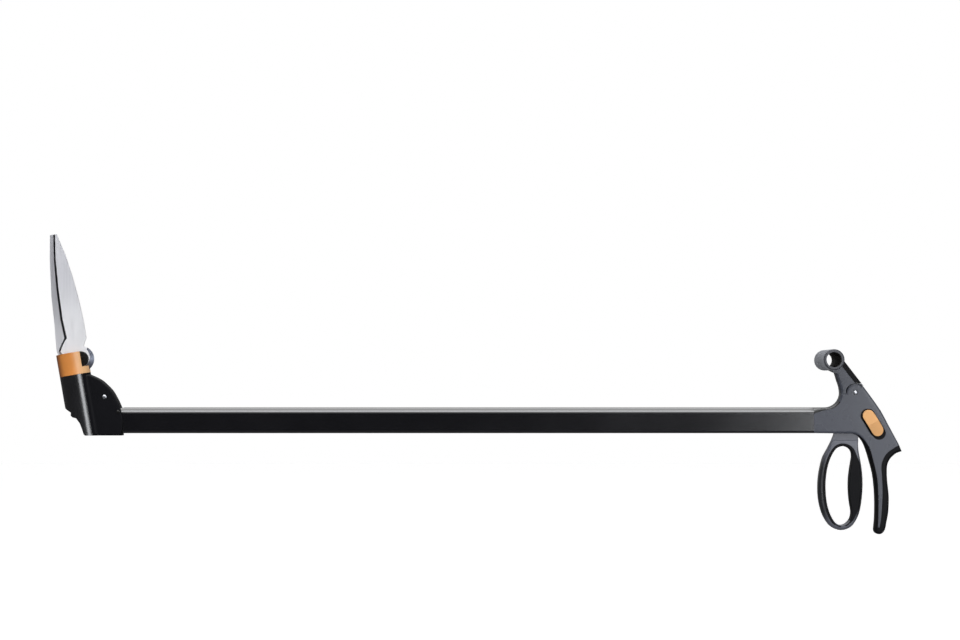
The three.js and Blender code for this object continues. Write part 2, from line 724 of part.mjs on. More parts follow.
function makeArm() {
  const half = armThickness / 2;
  const { top, foot } = armRearEdge();
  const shape = new THREE.Shape();
  shape.absarc(crossbarAcross, crossbarHeight, crossbarRadius, armTopTurn, 1.5 * Math.PI);
  smooth(spread(armLeftShares, bodyReach, crossbarRise))
    .forEach((at) => shape.lineTo(at.x, pivotHeight + at.y));
  shape.absarc(pivotAcross, pivotHeight, bossRadius + 2 * gap, Math.PI, bossEndTurn, true);
  shape.lineTo(foot.x, foot.y);
  shape.lineTo(top.x, top.y);
  const forkHalf = cheekInner + forkThickness;
  const fork = cut(
    slab(forkOutline(0), -forkHalf, forkHalf),
    pin(bossRadius, -cheekInner, cheekInner, pivotAcross, pivotHeight, roundSides),
    pin(pivotPinRadius + gap, -farOff, farOff, pivotAcross, pivotHeight),
  );
  const bore = crossbarRadius - sleeveWall;
  const arm = cut(
    join(slab(shape, -half, half), fork),
    pin(bore, -farOff, farOff, crossbarAcross, crossbarHeight, roundSides),
    slab(insertOutline(gap), -farOff, farOff),
  );
  const insertHalf = half + insertProud;
  return [
    piece('support_arm', arm, handlePlastic),
    piece('arm_insert', slab(insertOutline(0), -insertHalf, insertHalf), softRubber),
  ];
}

// Crossbar: a plastic tube through the arm's ring, with a grip on each side
function makeCrossbar() {
  const half = crossbarLength / 2;
  const sleeveBore = crossbarRadius - sleeveWall;
  const coreProfile = ring(crossbarBore, sleeveBore - gap, -half, half);
  const start = armThickness / 2 + gap;
  const sleeve = [
    [sleeveBore, start], [crossbarRadius, start], [crossbarRadius, half - 2 * endRound],
    [crossbarRadius - endRound / 3, half - endRound / 2], [sleeveBore, half], [sleeveBore, start],
  ];
  const parts = [
    piece('crossbar_core', turned(coreProfile), headPlastic),
    piece('crossbar_grip_right', turned(sleeve), crossbarSkin),
    piece('crossbar_grip_left', turned(sleeve), crossbarSkin),
  ];
  parts[2].rotation.x = Math.PI;
  parts.forEach((part) => part.position.set(crossbarAcross, 0, crossbarHeight));
  return parts;
}

// Lock: a ridged button in a pocket of the left shell, with its bolt inside
function makeLock() {
  const half = lockLength / 2;
  const base = pocketDepth - halfBody - gap;
  const crest = -halfBody - lockRise;
  const lip = -halfBody - lockLip;
  const roof = new THREE.Shape([
    new THREE.Vector2(-half, base), new THREE.Vector2(-half, lip), new THREE.Vector2(0, crest),
    new THREE.Vector2(half, lip), new THREE.Vector2(half, base),
  ]);
  const ridge = new THREE.ExtrudeGeometry(roof, { depth: lockWidth, bevelEnabled: false });
  const cap = slab(stadium(lockLength, lockWidth), -farOff, farOff)
    .intersect(solid(ridge.translate(0, 0, -lockWidth / 2)));
  const stemFoot = gap - cavityHalf;
  const stemShape = slab(stadium(2 * lockStem, lockStem), base - gap, stemFoot);
  const screwHole = pin(screwRadius + gap, base - lockLip, farOff);
  const button = piece('lock_button', cut(join(cap, stemShape), screwHole), orangePlastic);
  const boltFoot = stemFoot + gap + boltThickness;
  const boltFront = -boltReachShare * (lockAcross - rearPin - leverNeckHalf);
  const barShape = block(
    [boltFront, boltTail],
    [stemFoot + gap, boltFoot],
    [-boltWidth / 2, boltWidth / 2],
  );
  const nose = block(
    [boltFront, boltFront + boltNose],
    [stemFoot + gap, leverHalf],
    [-boltWidth / 2 - 2 * runningGap, boltWidth / 2],
  );
  const bolt = piece('lock_bolt', cut(join(barShape, nose), screwHole), plainSteel);
  const screw = join(
    pin(screwRadius, base - lockLip + gap, boltFoot + 2 * gap),
    pin(screwHeadRadius, boltFoot + gap, boltFoot + gap + screwHeadHeight),
  );
  const group = new THREE.Group();
  group.position.set(lockAcross, 0, lockHeight);
  group.rotation.y = lockLean;
  group.add(button, bolt, piece('lock_screw', screw, plainSteel));
  return group;
}

// A countersunk screw along Y, its head towards the back
function screwAlong(name, foot, top) {
  const headFoot = top - screwHeadHeight;
  const shape = join(
    pin(screwRadius, foot, top - screwHeadHeight / 2),
    pin(screwHeadRadius, headFoot, top),
  );
  return piece(name, shape, plainSteel);
}

function makeHandleScrews() {
  const screws = handleScrews.map((at, index) => {
    const seat = index < handleScrews.length - 2 ? halfBody : coreHalf;
    const foot = bodyWall - halfBody;
    const screw = screwAlong(`handle_screw_${index + 1}`, foot, seat - screwRecess);
    screw.position.set(at.x, 0, at.y);
    return screw;
  });
  const seat = halfBody + gap;
  const shaftFoot = seat - spigotWall - shaftWall - 2 * gap;
  const shaftScrew = screwAlong('shaft_screw', shaftFoot, seat + screwHeadHeight);
  shaftScrew.position.set(shaftScrewAcross, 0, rodHeight);
  return [...screws, shaftScrew];
}

// Head outlines: the web that joins the barrel to the shaft, as shares of
// its reach and height, and the stepped hollow under the barrel
const webTopShares = [[0.1, 0.985], [0.232, 0.949], [0.407, 0.89], [0.529, 0.823],
  [0.69, 0.716], [0.8, 0.596], [0.889, 0.478], [0.957, 0.35], [0.99, 0.22], [0.995, 0.1], [0.96, 0.01]];
const stepShares = [[-0.53, 0.47], [-0.5, 0.411], [-0.33, 0.344], [-0.335, 0.294], [-0.285, 0.265],
  [-0.185, 0.249], [-0.088, 0.165], [-0.028, 0.064], [0.012, -0.019], [0.055, -0.042]];

const tilted = (geometry) => geometry.rotateY(-headTilt);

// The room in which the bellcrank rocks
function crankRoom(half) {
  const reach = crankHub + crankClear;
  const swing = Math.sin(crankSwing / 2);
  const lowHalf = crankArmWidth / 2 + crankDrop * swing + crankClear;
  const tipHalf = tineTip + crankFromAxis * swing + crankClear;
  const down = outline([
    [crankAcross - reach, crankHeight], [crankAcross - lowHalf, shaftHeight - overrun],
    [crankAcross + lowHalf, shaftHeight - overrun], [crankAcross + reach, crankHeight],
  ]);
  const aside = plate(outline([
    [crankFromAxis, grooveMiddle + reach], [0, grooveMiddle + tipHalf],
    [-tineTip - crankClear, grooveMiddle + tipHalf], [-tineTip - crankClear, grooveMiddle - tipHalf],
    [0, grooveMiddle - tipHalf], [crankFromAxis, grooveMiddle - reach],
  ]), -half, half);
  return join(
    slab(down, -half, half),
    solid(tilted(aside)),
    pin(reach, -half, half, crankAcross, crankHeight, roundSides),
  );
}

// The hollow corners in which the barrel runs out into the web's two faces
function webCorners(web) {
  const half = headThickness / 2;
  const reach = barrelRadius + webFillet;
  const aside = half + webFillet;
  const across = Math.sqrt(reach ** 2 - aside ** 2);
  const share = barrelRadius / reach;
  const shape = new THREE.Shape();
  shape.moveTo(share * across, share * aside);
  shape.absarc(across, aside, webFillet, Math.atan2(-aside, -across), -Math.PI / 2, false);
  shape.lineTo(across, half - headEdge);
  shape.lineTo(share * across - headEdge, share * aside - headEdge);
  const corner = solid(tilted(plate(shape, -farOff, farOff).rotateX(Math.PI / 2)))
    .intersect(drawnIn(web, headEdge, -farOff, farOff));
  return [corner, corner.mirror([0, 1, 0])];
}

function makeHeadShells() {
  const half = headThickness / 2;
  const web = new THREE.Shape();
  const webStart = webTopShares[0];
  web.moveTo(0, webStart[1] * headHeight);
  smooth(spread(webTopShares, headReach, headHeight)).forEach((at) => web.lineTo(at.x, at.y));
  web.lineTo(webTopShares[webTopShares.length - 1][0] * headReach, -headSole);
  web.lineTo(0, -headSole);
  const under = spread(stepShares, headReach, headHeight);
  const step = new THREE.Shape([
    ...under,
    new THREE.Vector2(under[under.length - 1].x, -farOff),
    new THREE.Vector2(-farOff, -farOff),
    new THREE.Vector2(-farOff, under[0].y),
  ]);
  const barrel = solid(tilted(turnedUp(drum(barrelRadius, -2 * overrun, barrelTop))));
  const outside = cut(
    join(slab(web, -half, half, headEdge), barrel, ...webCorners(web)),
    slab(step, -farOff, farOff),
    block([-farOff, farOff], [-farOff, farOff], [-farOff, -headSole]),
  );
  const groove = flangeStart - gap;
  const bore = [
    [0, boreFoot], [plungerFlange + 2 * runningGap, boreFoot],
    [plungerFlange + 2 * runningGap, carrierFoot - gap], [carrierRadius + gap, carrierFoot - gap],
    [carrierRadius + gap, groove], [carrierFlange + gap, groove],
    [carrierFlange + gap, groove + flangeHeight + 2 * gap],
    [carrierRadius + gap, groove + flangeHeight + 2 * gap],
    [carrierRadius + gap, barrelTop + overrun], [0, barrelTop + overrun],
  ];
  const socketFront = shaftFront - headPlace - gap;
  const screwFoot = bodyWall - half;
  const headSeat = half - screwHeadHeight - screwRecess;
  const holes = headScrews.flatMap((at) => [
    pin(screwRadius + gap, screwFoot - gap, farOff, at.x, at.y),
    pin(screwHeadRadius + gap, headSeat - gap, farOff, at.x, at.y),
  ]);
  const hollow = cut(
    outside,
    solid(tilted(turnedUp(bore))),
    bar(shaftSection(shaftSwage - gap), socketFront, farOff),
    crankRoom(tineOuter + runningGap),
    pin(crankPinRadius + gap, -farOff, farOff, crankAcross, crankHeight),
    pin(tubePinRadius + gap, -farOff, farOff, tubePinAcross, tubePinHeight),
    ...holes,
  );
  const left = block([-farOff, farOff], [-farOff, -gap / 2], [-farOff, farOff]);
  const right = block([-farOff, farOff], [gap / 2, farOff], [-farOff, farOff]);
  return [
    piece('head_shell_left', hollow.intersect(left), headPlastic),
    piece('head_shell_right', hollow.intersect(right), headPlastic),
  ];
}

function makeHeadFasteners() {
  const half = headThickness / 2;
  const screws = headScrews.map((at, index) => {
    const screw = screwAlong(`head_screw_${index + 1}`, bodyWall - half, half - screwRecess);
    screw.position.set(at.x, 0, at.y);
    return screw;
  });
  const tubePin = piece('tube_pin', pin(tubePinRadius, -half, half), plainSteel);
  tubePin.position.set(tubePinAcross, 0, tubePinHeight);
  const crankPin = piece('bellcrank_pin', pin(crankPinRadius, -half - gap, half + gap), plainSteel);
  crankPin.position.set(crankAcross, 0, crankHeight);
  return [...screws, tubePin, crankPin];
}

// Bellcrank: an arm down to the rod and a fork across to the plunger's groove
function makeBellcrank() {
  const half = crankThickness / 2;
  const armHalf = crankArmWidth / 2;
  const down = new THREE.Shape();
  down.absarc(0, -crankDrop, armHalf, Math.PI, 2 * Math.PI);
  down.lineTo(crankHub, 0);
  down.lineTo(-crankHub, 0);
  const neck = tineTip * Math.sin(Math.PI / 4);
  const clearOfFlange = -crankFromAxis + plungerFlange + 2 * runningGap;
  const across = new THREE.Shape();
  across.absarc(-crankFromAxis, 0, tineTip, Math.PI / 4, 1.75 * Math.PI);
  across.lineTo(clearOfFlange, -neck);
  across.lineTo(0, -crankHub);
  across.lineTo(0, crankHub);
  across.lineTo(clearOfFlange, neck);
  const bridge = clearOfFlange + runningGap;
  const fork = cut(
    solid(plate(across, -tineOuter, tineOuter).rotateY(-headTilt)),
    solid(new THREE.BoxGeometry(farOff, 2 * tineInner, farOff)
      .translate(bridge - farOff / 2, 0, 0).rotateY(-headTilt)),
  );
  const crank = cut(
    join(
      slab(down, -half, half),
      fork,
      pin(crankHub, -tineOuter, tineOuter, 0, 0, roundSides),
    ),
    pin(crankPinRadius + gap, -farOff, farOff),
    pin(clevisPinRadius + runningGap, -farOff, farOff, 0, -crankDrop),
  );
  const mesh = piece('bellcrank', crank, plainSteel);
  mesh.position.set(crankAcross, 0, crankHeight);
  mesh.rotation.y = -crankSwing / 2;
  return mesh;
}

// Carrier: turns in the barrel, and holds the blades in the slot in its neck
const bladeSlot = bladeThickness + 2 * gap;
const channelHalf = tongueWidth / 2 + runningGap;
const tongueMiddle = driveAside;
const tongueFront = -bladeThickness - gap - runningGap - tongueThickness;

function makeCarrier() {
  const profile = [
    [0, carrierFoot], [carrierRadius, carrierFoot], [carrierRadius, flangeStart],
    [carrierFlange, flangeStart], [carrierFlange, flangeStart + flangeHeight],
    [carrierRadius, flangeStart + flangeHeight], [carrierRadius, barrelTop + runningGap],
    [carrierNeck, barrelTop + runningGap], [carrierNeck, carrierTop], [0, carrierTop],
  ];
  const channel = [tongueMiddle - channelHalf, tongueMiddle + channelHalf];
  const windowFoot = collarStart + windowSill;
  const detent = carrierRadius - 2 * detentRadius;
  return piece('blade_carrier', cut(
    solid(turnedUp(profile)),
    block([-farOff, farOff], [-bladeSlot, bladeSlot], [bladeSlotFoot, farOff]),
    block(channel, [tongueFront - runningGap, 0], [0, farOff]),
    block([channel[0], farOff], [-farOff, 0], [windowFoot, farOff]),
    solid(turnedUp(drum(plungerStem + runningGap, 0, bladeSlotFoot + overrun), smallSides)),
    pin(nutRadius + 2 * runningGap, 0, farOff, pivotAside, bladePivotHeight, roundSides),
    block([pivotAside, farOff], [0, farOff], [bladePivotHeight, farOff]),
    pin(carrierRivetRadius + gap, -farOff, farOff, carrierRivetAside, carrierRivetHeight),
    pin(detentRadius + gap, detent - 2 * detentRadius, farOff, 0, detentPlace),
  ), headPlastic);
}

function makeDetent() {
  const ballPlace = carrierRadius - detentRadius;
  const ball = new THREE.SphereGeometry(detentRadius, smallSides, smallSides / 2);
  const springFoot = carrierRadius - 4 * detentRadius + gap;
  const springTop = ballPlace - detentRadius - gap;
  const coil = ring(detentRadius / 2, detentRadius - gap, springFoot, springTop);
  const parts = [
    piece('detent_ball', ball.translate(0, ballPlace, 0), plainSteel),
    piece('detent_spring', turned(coil, smallSides), plainSteel),
  ];
  parts.forEach((part) => { part.position.z = detentPlace; });
  return parts;
}

// Collar: the orange ring round the neck, with a window over the pivot screw
function makeCollar() {
  const window = new THREE.Shape();
  const far = 2 * collarRadius;
  window.moveTo(0, 0);
  const turns = [windowStart, (windowStart + windowEnd) / 2, windowEnd];
  turns.forEach((turn) => window.lineTo(far * Math.sin(turn), -far * Math.cos(turn)));
  const opening = new THREE.ExtrudeGeometry(window, { depth: farOff, bevelEnabled: false });
  const lobeSill = lobeSlotFoot - gap - collarStart;
  const collar = cut(
    solid(turnedUp(ring(collarBore, collarRadius, 0, collarHeight))),
    solid(opening.translate(0, 0, windowSill)),
    block([0, farOff], [-bladeSlot - gap, bladeSlot + gap], [lobeSill, farOff]),
  );
  const mesh = piece('swivel_collar', collar, orangePlastic);
  mesh.position.z = collarStart;
  return mesh;
}

// Plunger: a grooved spool on a stem, with a slotted tongue beside the blades
function makePlunger() {
  const foot = grooveHeight - tineTip - gap - plungerFlangeHeight;
  const low = foot + plungerFlangeHeight;
  const high = grooveHeight + tineTip + gap;
  const profile = [
    [0, foot], [plungerFlange, foot], [plungerFlange, low], [plungerCore, low],
    [plungerCore, high], [plungerFlange, high], [plungerFlange, high + plungerFlangeHeight],
    [plungerStem, high + plungerFlangeHeight], [plungerStem, stemTop], [0, stemTop],
  ];
  const tongue = block(
    [tongueMiddle - tongueWidth / 2, tongueMiddle + tongueWidth / 2],
    [tongueFront, tongueFront + tongueThickness],
    [tongueStart, tongueTop],
  );
  const slotLength = 2 * (drivePinRadius + runningGap) + driveArm * (1 - Math.cos(driveRestAngle));
  const slot = plate(stadium(slotLength, 2 * (drivePinRadius + gap)), -farOff, 0);
  const slotPlace = driveAside - (driveArm * (1 - Math.cos(driveRestAngle))) / 2;
  return piece('drive_plunger', cut(
    join(solid(turnedUp(profile)), tongue),
    solid(slot.translate(slotPlace, 0, driveHeight)),
  ), plainSteel);
}

// Blades, as shares of their width and of their length above the pivot
const movingEdgeShares = [[-0.335, 0.994], [-0.53, 0.801], [-0.655, 0.578],
  [-0.724, 0.326], [-0.68, 0.184]];
const movingHeelShares = [[-0.89, 0.141], [-1.1, 0.088], [-1.02, 0.05], [-0.78, -0.01]];
const movingSpineShares = [[-0.155, 0.994], [0.112, 0.822], [0.287, 0.643], [0.4, 0.473],
  [0.463, 0.298], [0.458, 0.194], [0.45, 0.155], [0.283, 0.112]];
const fixedSpineShares = [[-0.515, 0.997], [-0.742, 0.805], [-0.854, 0.681],
  [-0.979, 0.526], [-1.038, 0.401], [-1.075, 0.306], [-1.154, 0.181],
  [-1.2, 0.088], [-1.15, 0.055], [-1.1, -0.02], [-0.9, -0.098]];
const fixedEdgeShares = [[-0.26, 0.997], [-0.17, 0.9], [-0.12, 0.801], [-0.05, 0.578],
  [-0.01, 0.326], [-0.06, 0.184], [0.18, 0.1], [0.5, 0]];

function bladeShape(leftShares, rightShares) {
  const left = spread(leftShares, bladeSpan, bladeReach);
  const right = spread(rightShares, bladeSpan, bladeReach).reverse();
  return new THREE.Shape([...left, new THREE.Vector2(0, 0), ...right]);
}

function makeBlades() {
  const face = gap / 3;
  const back = face + bladeThickness;
  const movingShape = bladeShape([...movingEdgeShares, ...movingHeelShares], movingSpineShares);
  const lugAside = driveAside - pivotAside;
  const lugHeight = driveHeight - bladePivotHeight;
  const moving = cut(
    join(
      slab(movingShape, -back, -face),
      pin(lobeRadius, -back, -face, 0, 0, roundSides),
      pin(driveLug, -back, -face, lugAside, lugHeight),
    ),
    pin(pivotScrewRadius + gap, -farOff, farOff),
    pin(drivePinRadius + gap, -farOff, farOff, lugAside, lugHeight),
  );
  const fixedShape = bladeShape(fixedSpineShares, fixedEdgeShares);
  const fixed = cut(
    join(slab(fixedShape, face, back), pin(fixedLobeRadius, face, back, 0, 0, roundSides)),
    pin(pivotScrewRadius + gap, -farOff, farOff),
    pin(carrierRivetRadius + gap, -farOff, farOff,
      carrierRivetAside - pivotAside, carrierRivetHeight - bladePivotHeight),
  );
  const drive = piece('drive_pin', pin(drivePinRadius, tongueFront, -face), plainSteel);
  drive.position.set(lugAside, 0, lugHeight);
  const headTop = -back - gap;
  const screw = join(
    pin(pivotHeadRadius, headTop - pivotHeadHeight, headTop, 0, 0, roundSides),
    pin(pivotScrewRadius, headTop - gap, back + gap + washerThickness + nutHeight),
  );
  const washer = ring(pivotScrewRadius + gap, nutRadius, back + gap, back + gap + washerThickness);
  const nutFoot = back + washerThickness;
  const nut = cut(
    pin(nutRadius, nutFoot + 2 * gap, nutFoot + nutHeight, 0, 0, nutSides),
    pin(pivotScrewRadius + gap, -farOff, farOff),
  );
  const group = new THREE.Group();
  group.position.set(pivotAside, 0, bladePivotHeight);
  group.add(
    piece('moving_blade', moving, bladeSteel),
    piece('fixed_blade', fixed, bladeSteel),
    drive,
    piece('blade_pivot_screw', screw, blackSteel),
    piece('pivot_washer', turned(washer, smallSides), plainSteel),
    piece('pivot_nut', nut, plainSteel),
  );
  return group;
}

function makeCarrierRivet() {
  const aside = Math.abs(carrierRivetAside) + carrierRivetRadius;
  const half = Math.sqrt(carrierNeck ** 2 - aside ** 2) - gap;
  const rivet = piece('carrier_rivet', pin(carrierRivetRadius, -half, half), plainSteel);
  rivet.position.set(carrierRivetAside, 0, carrierRivetHeight);
  return rivet;
}

// The whole tool, put together group by group
const handle = new THREE.Group();
handle.position.x = shaftRear;
handle.add(
  ...makeHandleShells(), makeGripPad(), ...makeTrigger(), ...makePivot(),
  ...makeArm(), ...makeCrossbar(), makeLock(), ...makeHandleScrews(),
);

const swivel = new THREE.Group();
swivel.rotation.y = -headTilt;
swivel.add(
  makeCarrier(), ...makeDetent(), makeCollar(), makePlunger(), makeBlades(), makeCarrierRivet(),
);

const head = new THREE.Group();
head.position.x = headPlace;
head.add(...makeHeadShells(), ...makeHeadFasteners(), makeBellcrank(), swivel);

const shears = new THREE.Group();
shears.add(makeShaft(), ...makeGuides(), ...makeRod(), ...makeClevises(), handle, head);

export default shears;
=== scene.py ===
# Long handled edging shears: upright blades on a swivelling head, a long
# rectangular shaft, and a trigger handle with a crossbar above it.
# Metres, in the model's frame: X along the shaft, Z up, camera on the -Y side.
import math

import bmesh
import bpy
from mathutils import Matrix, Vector


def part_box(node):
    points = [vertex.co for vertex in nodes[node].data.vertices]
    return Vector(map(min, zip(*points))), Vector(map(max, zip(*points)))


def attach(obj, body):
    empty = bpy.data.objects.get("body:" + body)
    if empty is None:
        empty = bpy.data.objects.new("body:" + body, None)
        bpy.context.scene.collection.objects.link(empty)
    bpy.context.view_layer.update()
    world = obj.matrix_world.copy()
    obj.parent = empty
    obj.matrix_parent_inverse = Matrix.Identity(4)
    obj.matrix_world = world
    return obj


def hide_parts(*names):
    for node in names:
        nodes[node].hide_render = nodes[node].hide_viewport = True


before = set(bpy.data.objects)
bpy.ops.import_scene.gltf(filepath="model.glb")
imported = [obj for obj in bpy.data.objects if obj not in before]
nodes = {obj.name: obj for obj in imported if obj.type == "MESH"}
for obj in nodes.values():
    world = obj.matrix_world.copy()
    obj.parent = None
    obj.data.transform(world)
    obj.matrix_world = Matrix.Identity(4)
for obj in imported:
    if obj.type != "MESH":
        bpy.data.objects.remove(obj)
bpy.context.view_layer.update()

MM = 0.001

# Camera
# A long lens in front of the shaft's middle, a little higher than the shaft.
camera_place = Vector((-6, -3400, 61)) * MM
camera_target = Vector((0, 0, 141.25)) * MM
camera_lens = 102


def linked(name, data):
    """A new object in the scene."""
    thing = bpy.data.objects.new(name, data)
    bpy.context.scene.collection.objects.link(thing)
    return thing


camera_data = bpy.data.cameras.new("camera")
camera_data.lens = camera_lens
camera_data.sensor_width = 36
camera_data.clip_start = 0.05
camera_data.clip_end = 60
camera = linked("camera", camera_data)
camera.location = camera_place
camera.rotation_euler = (camera_target - camera_place).to_track_quat("-Z", "Y").to_euler()
bpy.context.scene.camera = camera
bpy.context.scene.view_settings.view_transform = "Standard"


# Floor
# One pale sheet below the tool. It gives off light only to the camera and to rays
# that pass through a piece, so it renders white and still keeps the tool's shadow.
floor_drop = -0.30
floor_half = 9.0
floor_colour = (0.88, 0.88, 0.88, 1)
floor_glow = 0.68
floor_gloss_share = 0.85
floor_gloss_shade = (0.05, 0.05, 0.05, 1)


def add(tree, kind, inputs=None, **settings):
    """Adds a node. An input is given a number, a colour or a socket to link."""
    node = tree.nodes.new(kind)
    for name, value in settings.items():
        setattr(node, name, value)
    for key, value in (inputs or {}).items():
        if isinstance(key, int):
            socket = node.inputs[key]
        else:
            socket = next(one for one in node.inputs if one.name == key and one.enabled)
        if isinstance(value, bpy.types.NodeSocket):
            tree.links.new(value, socket)
        else:
            socket.default_value = value
    return node


def out(node, name=None):
    """A node's output socket, the first one in use unless it is named."""
    return next(one for one in node.outputs if one.enabled and name in (None, one.name))


def worked(tree, operation, first, second=0.0):
    """A sum on two numbers or sockets in a tree."""
    return out(add(tree, "ShaderNodeMath", {0: first, 1: second}, operation=operation))


def begun(name, levels):
    """A new material with the plain levels given, and its tree."""
    material = bpy.data.materials.new(name)
    material.use_nodes = True
    tree = material.node_tree
    for label, level in levels.items():
        tree.nodes["Principled BSDF"].inputs[label].default_value = level
    return material, tree


floor_mesh = bpy.data.meshes.new("floor")
floor_corners = [(x * floor_half, y * floor_half, floor_drop)
                 for x, y in [(-1, -1), (1, -1), (1, 1), (-1, 1)]]
floor_mesh.from_pydata(floor_corners, [], [(0, 1, 2, 3)])
floor = linked("floor", floor_mesh)
floor_paper, tree = begun("pale floor", {
    "Base Color": floor_colour, "Roughness": 0.9, "Specular IOR Level": 0.1})
matt = tree.nodes["Principled BSDF"]
seen = add(tree, "ShaderNodeLightPath").outputs
straight_on = worked(tree, "MAXIMUM", seen["Is Camera Ray"], seen["Is Transmission Ray"])
glow = add(tree, "ShaderNodeEmission", {
    "Color": (1, 1, 1, 1), "Strength": worked(tree, "MULTIPLY", straight_on, floor_glow)})
both = add(tree, "ShaderNodeAddShader", {0: matt.outputs[0], 1: glow.outputs[0]})
shade = add(tree, "ShaderNodeBsdfDiffuse", {"Color": floor_gloss_shade})
dimmed = worked(tree, "MULTIPLY", seen["Is Glossy Ray"], floor_gloss_share)
paper = add(tree, "ShaderNodeMixShader", {0: dimmed, 1: both.outputs[0], 2: shade.outputs[0]})
tree.links.new(paper.outputs[0], tree.nodes["Material Output"].inputs["Surface"])
floor_mesh.materials.append(floor_paper)

# World
# White to the camera and to rays that pass through a piece. Polished surfaces
# see a pale room behind and above the tool, and a dim one in front of it.
room_light = 0.32
room_dark = 0.02
room_behind = 0.25
room_above = 3.4
behind_rise = (0.3, 0.9)
above_rise = (0.20, 0.70)
aside_fall = (0.3, 0.6)
aside_least = 0.06
back_fall = (0.5, 0.9)
back_least = 0.03


def spanned(tree, value, start, end, low=0.0, high=1.0, **settings):
    """A value that goes from low to high as another goes from start to end."""
    return out(add(tree, "ShaderNodeMapRange", {
        "Value": value, "From Min": start, "From Max": end, "To Min": low, "To Max": high},
        **settings))


world = bpy.data.worlds.new("studio")
bpy.context.scene.world = world
world.use_nodes = True
tree = world.node_tree
tree.nodes.clear()
way = add(tree, "ShaderNodeSeparateXYZ", {
    0: add(tree, "ShaderNodeTexCoord").outputs["Generated"]}).outputs
behind = spanned(tree, way["Y"], *behind_rise, room_dark, room_behind)
above = spanned(tree, way["Z"], *above_rise, room_dark, room_above)
aside = worked(tree, "ABSOLUTE", way["X"])
above = worked(tree, "MULTIPLY", above, spanned(tree, aside, *aside_fall, 1.0, aside_least))
above = worked(tree, "MULTIPLY", above, spanned(tree, way["Y"], *back_fall, 1.0, back_least))
seen = add(tree, "ShaderNodeLightPath").outputs
for_gloss = add(tree, "ShaderNodeMix", {
    "Factor": seen["Is Glossy Ray"], "A": room_light, "B": worked(tree, "MAXIMUM", behind, above)})
straight_on = worked(tree, "MAXIMUM", seen["Is Camera Ray"], seen["Is Transmission Ray"])
for_camera = add(tree, "ShaderNodeMix", {"Factor": straight_on, "A": out(for_gloss), "B": 1.0})
sky = add(tree, "ShaderNodeBackground", {"Color": (1, 1, 1, 1), "Strength": out(for_camera)})
add(tree, "ShaderNodeOutputWorld", {"Surface": sky.outputs[0]})

# Lamps
# A long strip overhead in front, and an upright box on either side of the camera,
# all a little cooler than white.
lamp_colour = (0.95, 0.97, 1.0)


def soft_box(name, place, aim, width, height, radiance):
    """A flat rectangular lamp of even brightness, turned towards a place."""
    data = bpy.data.lights.new(name, "AREA")
    data.color = lamp_colour
    data.shape = "RECTANGLE"
    data.size = width
    data.size_y = height
    data.energy = radiance * math.pi * width * height
    lamp = linked(name, data)
    lamp.location = place
    lamp.rotation_euler = (Vector(aim) - Vector(place)).to_track_quat("-Z", "Y").to_euler()


soft_box("box overhead", (0.0, -1.5, 1.9), (0, 0, 0), 2.8, 0.8, 4.8)
soft_box("box on the right", (1.34, -2.5, 0.12), (0.1, 0, 0.02), 1.1, 1.2, 6.2)
soft_box("box on the left", (-1.6, -1.9, 1.5), (-0.45, 0, 0.15), 0.9, 1.3, 2.6)


# Shaft
# A rectangular steel tube with rounded edges, painted satin black. The handle
# plugs into its rear end, and the head is clamped round its drawn-in front end.
paint_black = (0.0032, 0.0032, 0.0046, 1)
worn_paint = (0.05, 0.05, 0.055, 1)
noise_span = (0.3, 0.7)
cloud_dark = 0.8
cloud_pale = 1.22
skin_relief = 0.5
rub_reach = 0.0006
rub_bend = (0.985, 0.86)
rub_patches = (0.42, 0.62)
weld_reach = 0.000002
sharp_fold = math.radians(33)
flat_fold = math.radians(0.3)


def merged(name):
    """The closed surface of a CAD node, as a form to build on."""
    form = bmesh.new()
    form.from_mesh(nodes[name].data)
    bmesh.ops.remove_doubles(form, verts=form.verts, dist=weld_reach)
    return form


def settled(form, name, material, fold=sharp_fold):
    """The object of a form: smooth, but for folds sharper than the one given."""
    bmesh.ops.dissolve_limit(form, angle_limit=flat_fold, verts=form.verts, edges=form.edges)
    for face in form.faces:
        face.smooth = True
    for edge in form.edges:
        edge.smooth = len(edge.link_faces) == 2 and edge.calc_face_angle(0) < fold
    mesh = bpy.data.meshes.new(name)
    form.to_mesh(mesh)
    form.free()
    mesh.materials.append(material)
    piece = linked(name, mesh)
    weights = piece.modifiers.new("face weights", "WEIGHTED_NORMAL")
    weights.mode = "FACE_AREA"
    weights.weight = 80
    weights.keep_sharp = True
    return piece


def group(name, inputs, outputs):
    """An empty shader group with its two ends."""
    tree = bpy.data.node_groups.new(name, "ShaderNodeTree")
    for label, kind, value in inputs:
        socket = tree.interface.new_socket(label, in_out="INPUT", socket_type=kind)
        if value is not None:
            socket.default_value = value
    for label, kind in outputs:
        tree.interface.new_socket(label, in_out="OUTPUT", socket_type=kind)
    return tree, add(tree, "NodeGroupInput").outputs, add(tree, "NodeGroupOutput").inputs


# Fine grain of a moulded or painted skin, with slow changes of tone over it.
moulded_skin, skin_in, skin_out = group("moulded skin", [
    ("Place", "NodeSocketVector", None), ("Grain", "NodeSocketFloat", 600.0),
    ("Cloud", "NodeSocketFloat", 14.0)],
    [("Height", "NodeSocketFloat"), ("Tone", "NodeSocketFloat")])
fine = add(moulded_skin, "ShaderNodeTexNoise", {
    "Vector": skin_in["Place"], "Scale": skin_in["Grain"], "Detail": 3.0, "Roughness": 0.6})
slow = add(moulded_skin, "ShaderNodeTexNoise", {
    "Vector": skin_in["Place"], "Scale": skin_in["Cloud"], "Detail": 4.0, "Roughness": 0.62})
moulded_skin.links.new(fine.outputs[0], skin_out["Height"])
moulded_skin.links.new(slow.outputs[0], skin_out["Tone"])

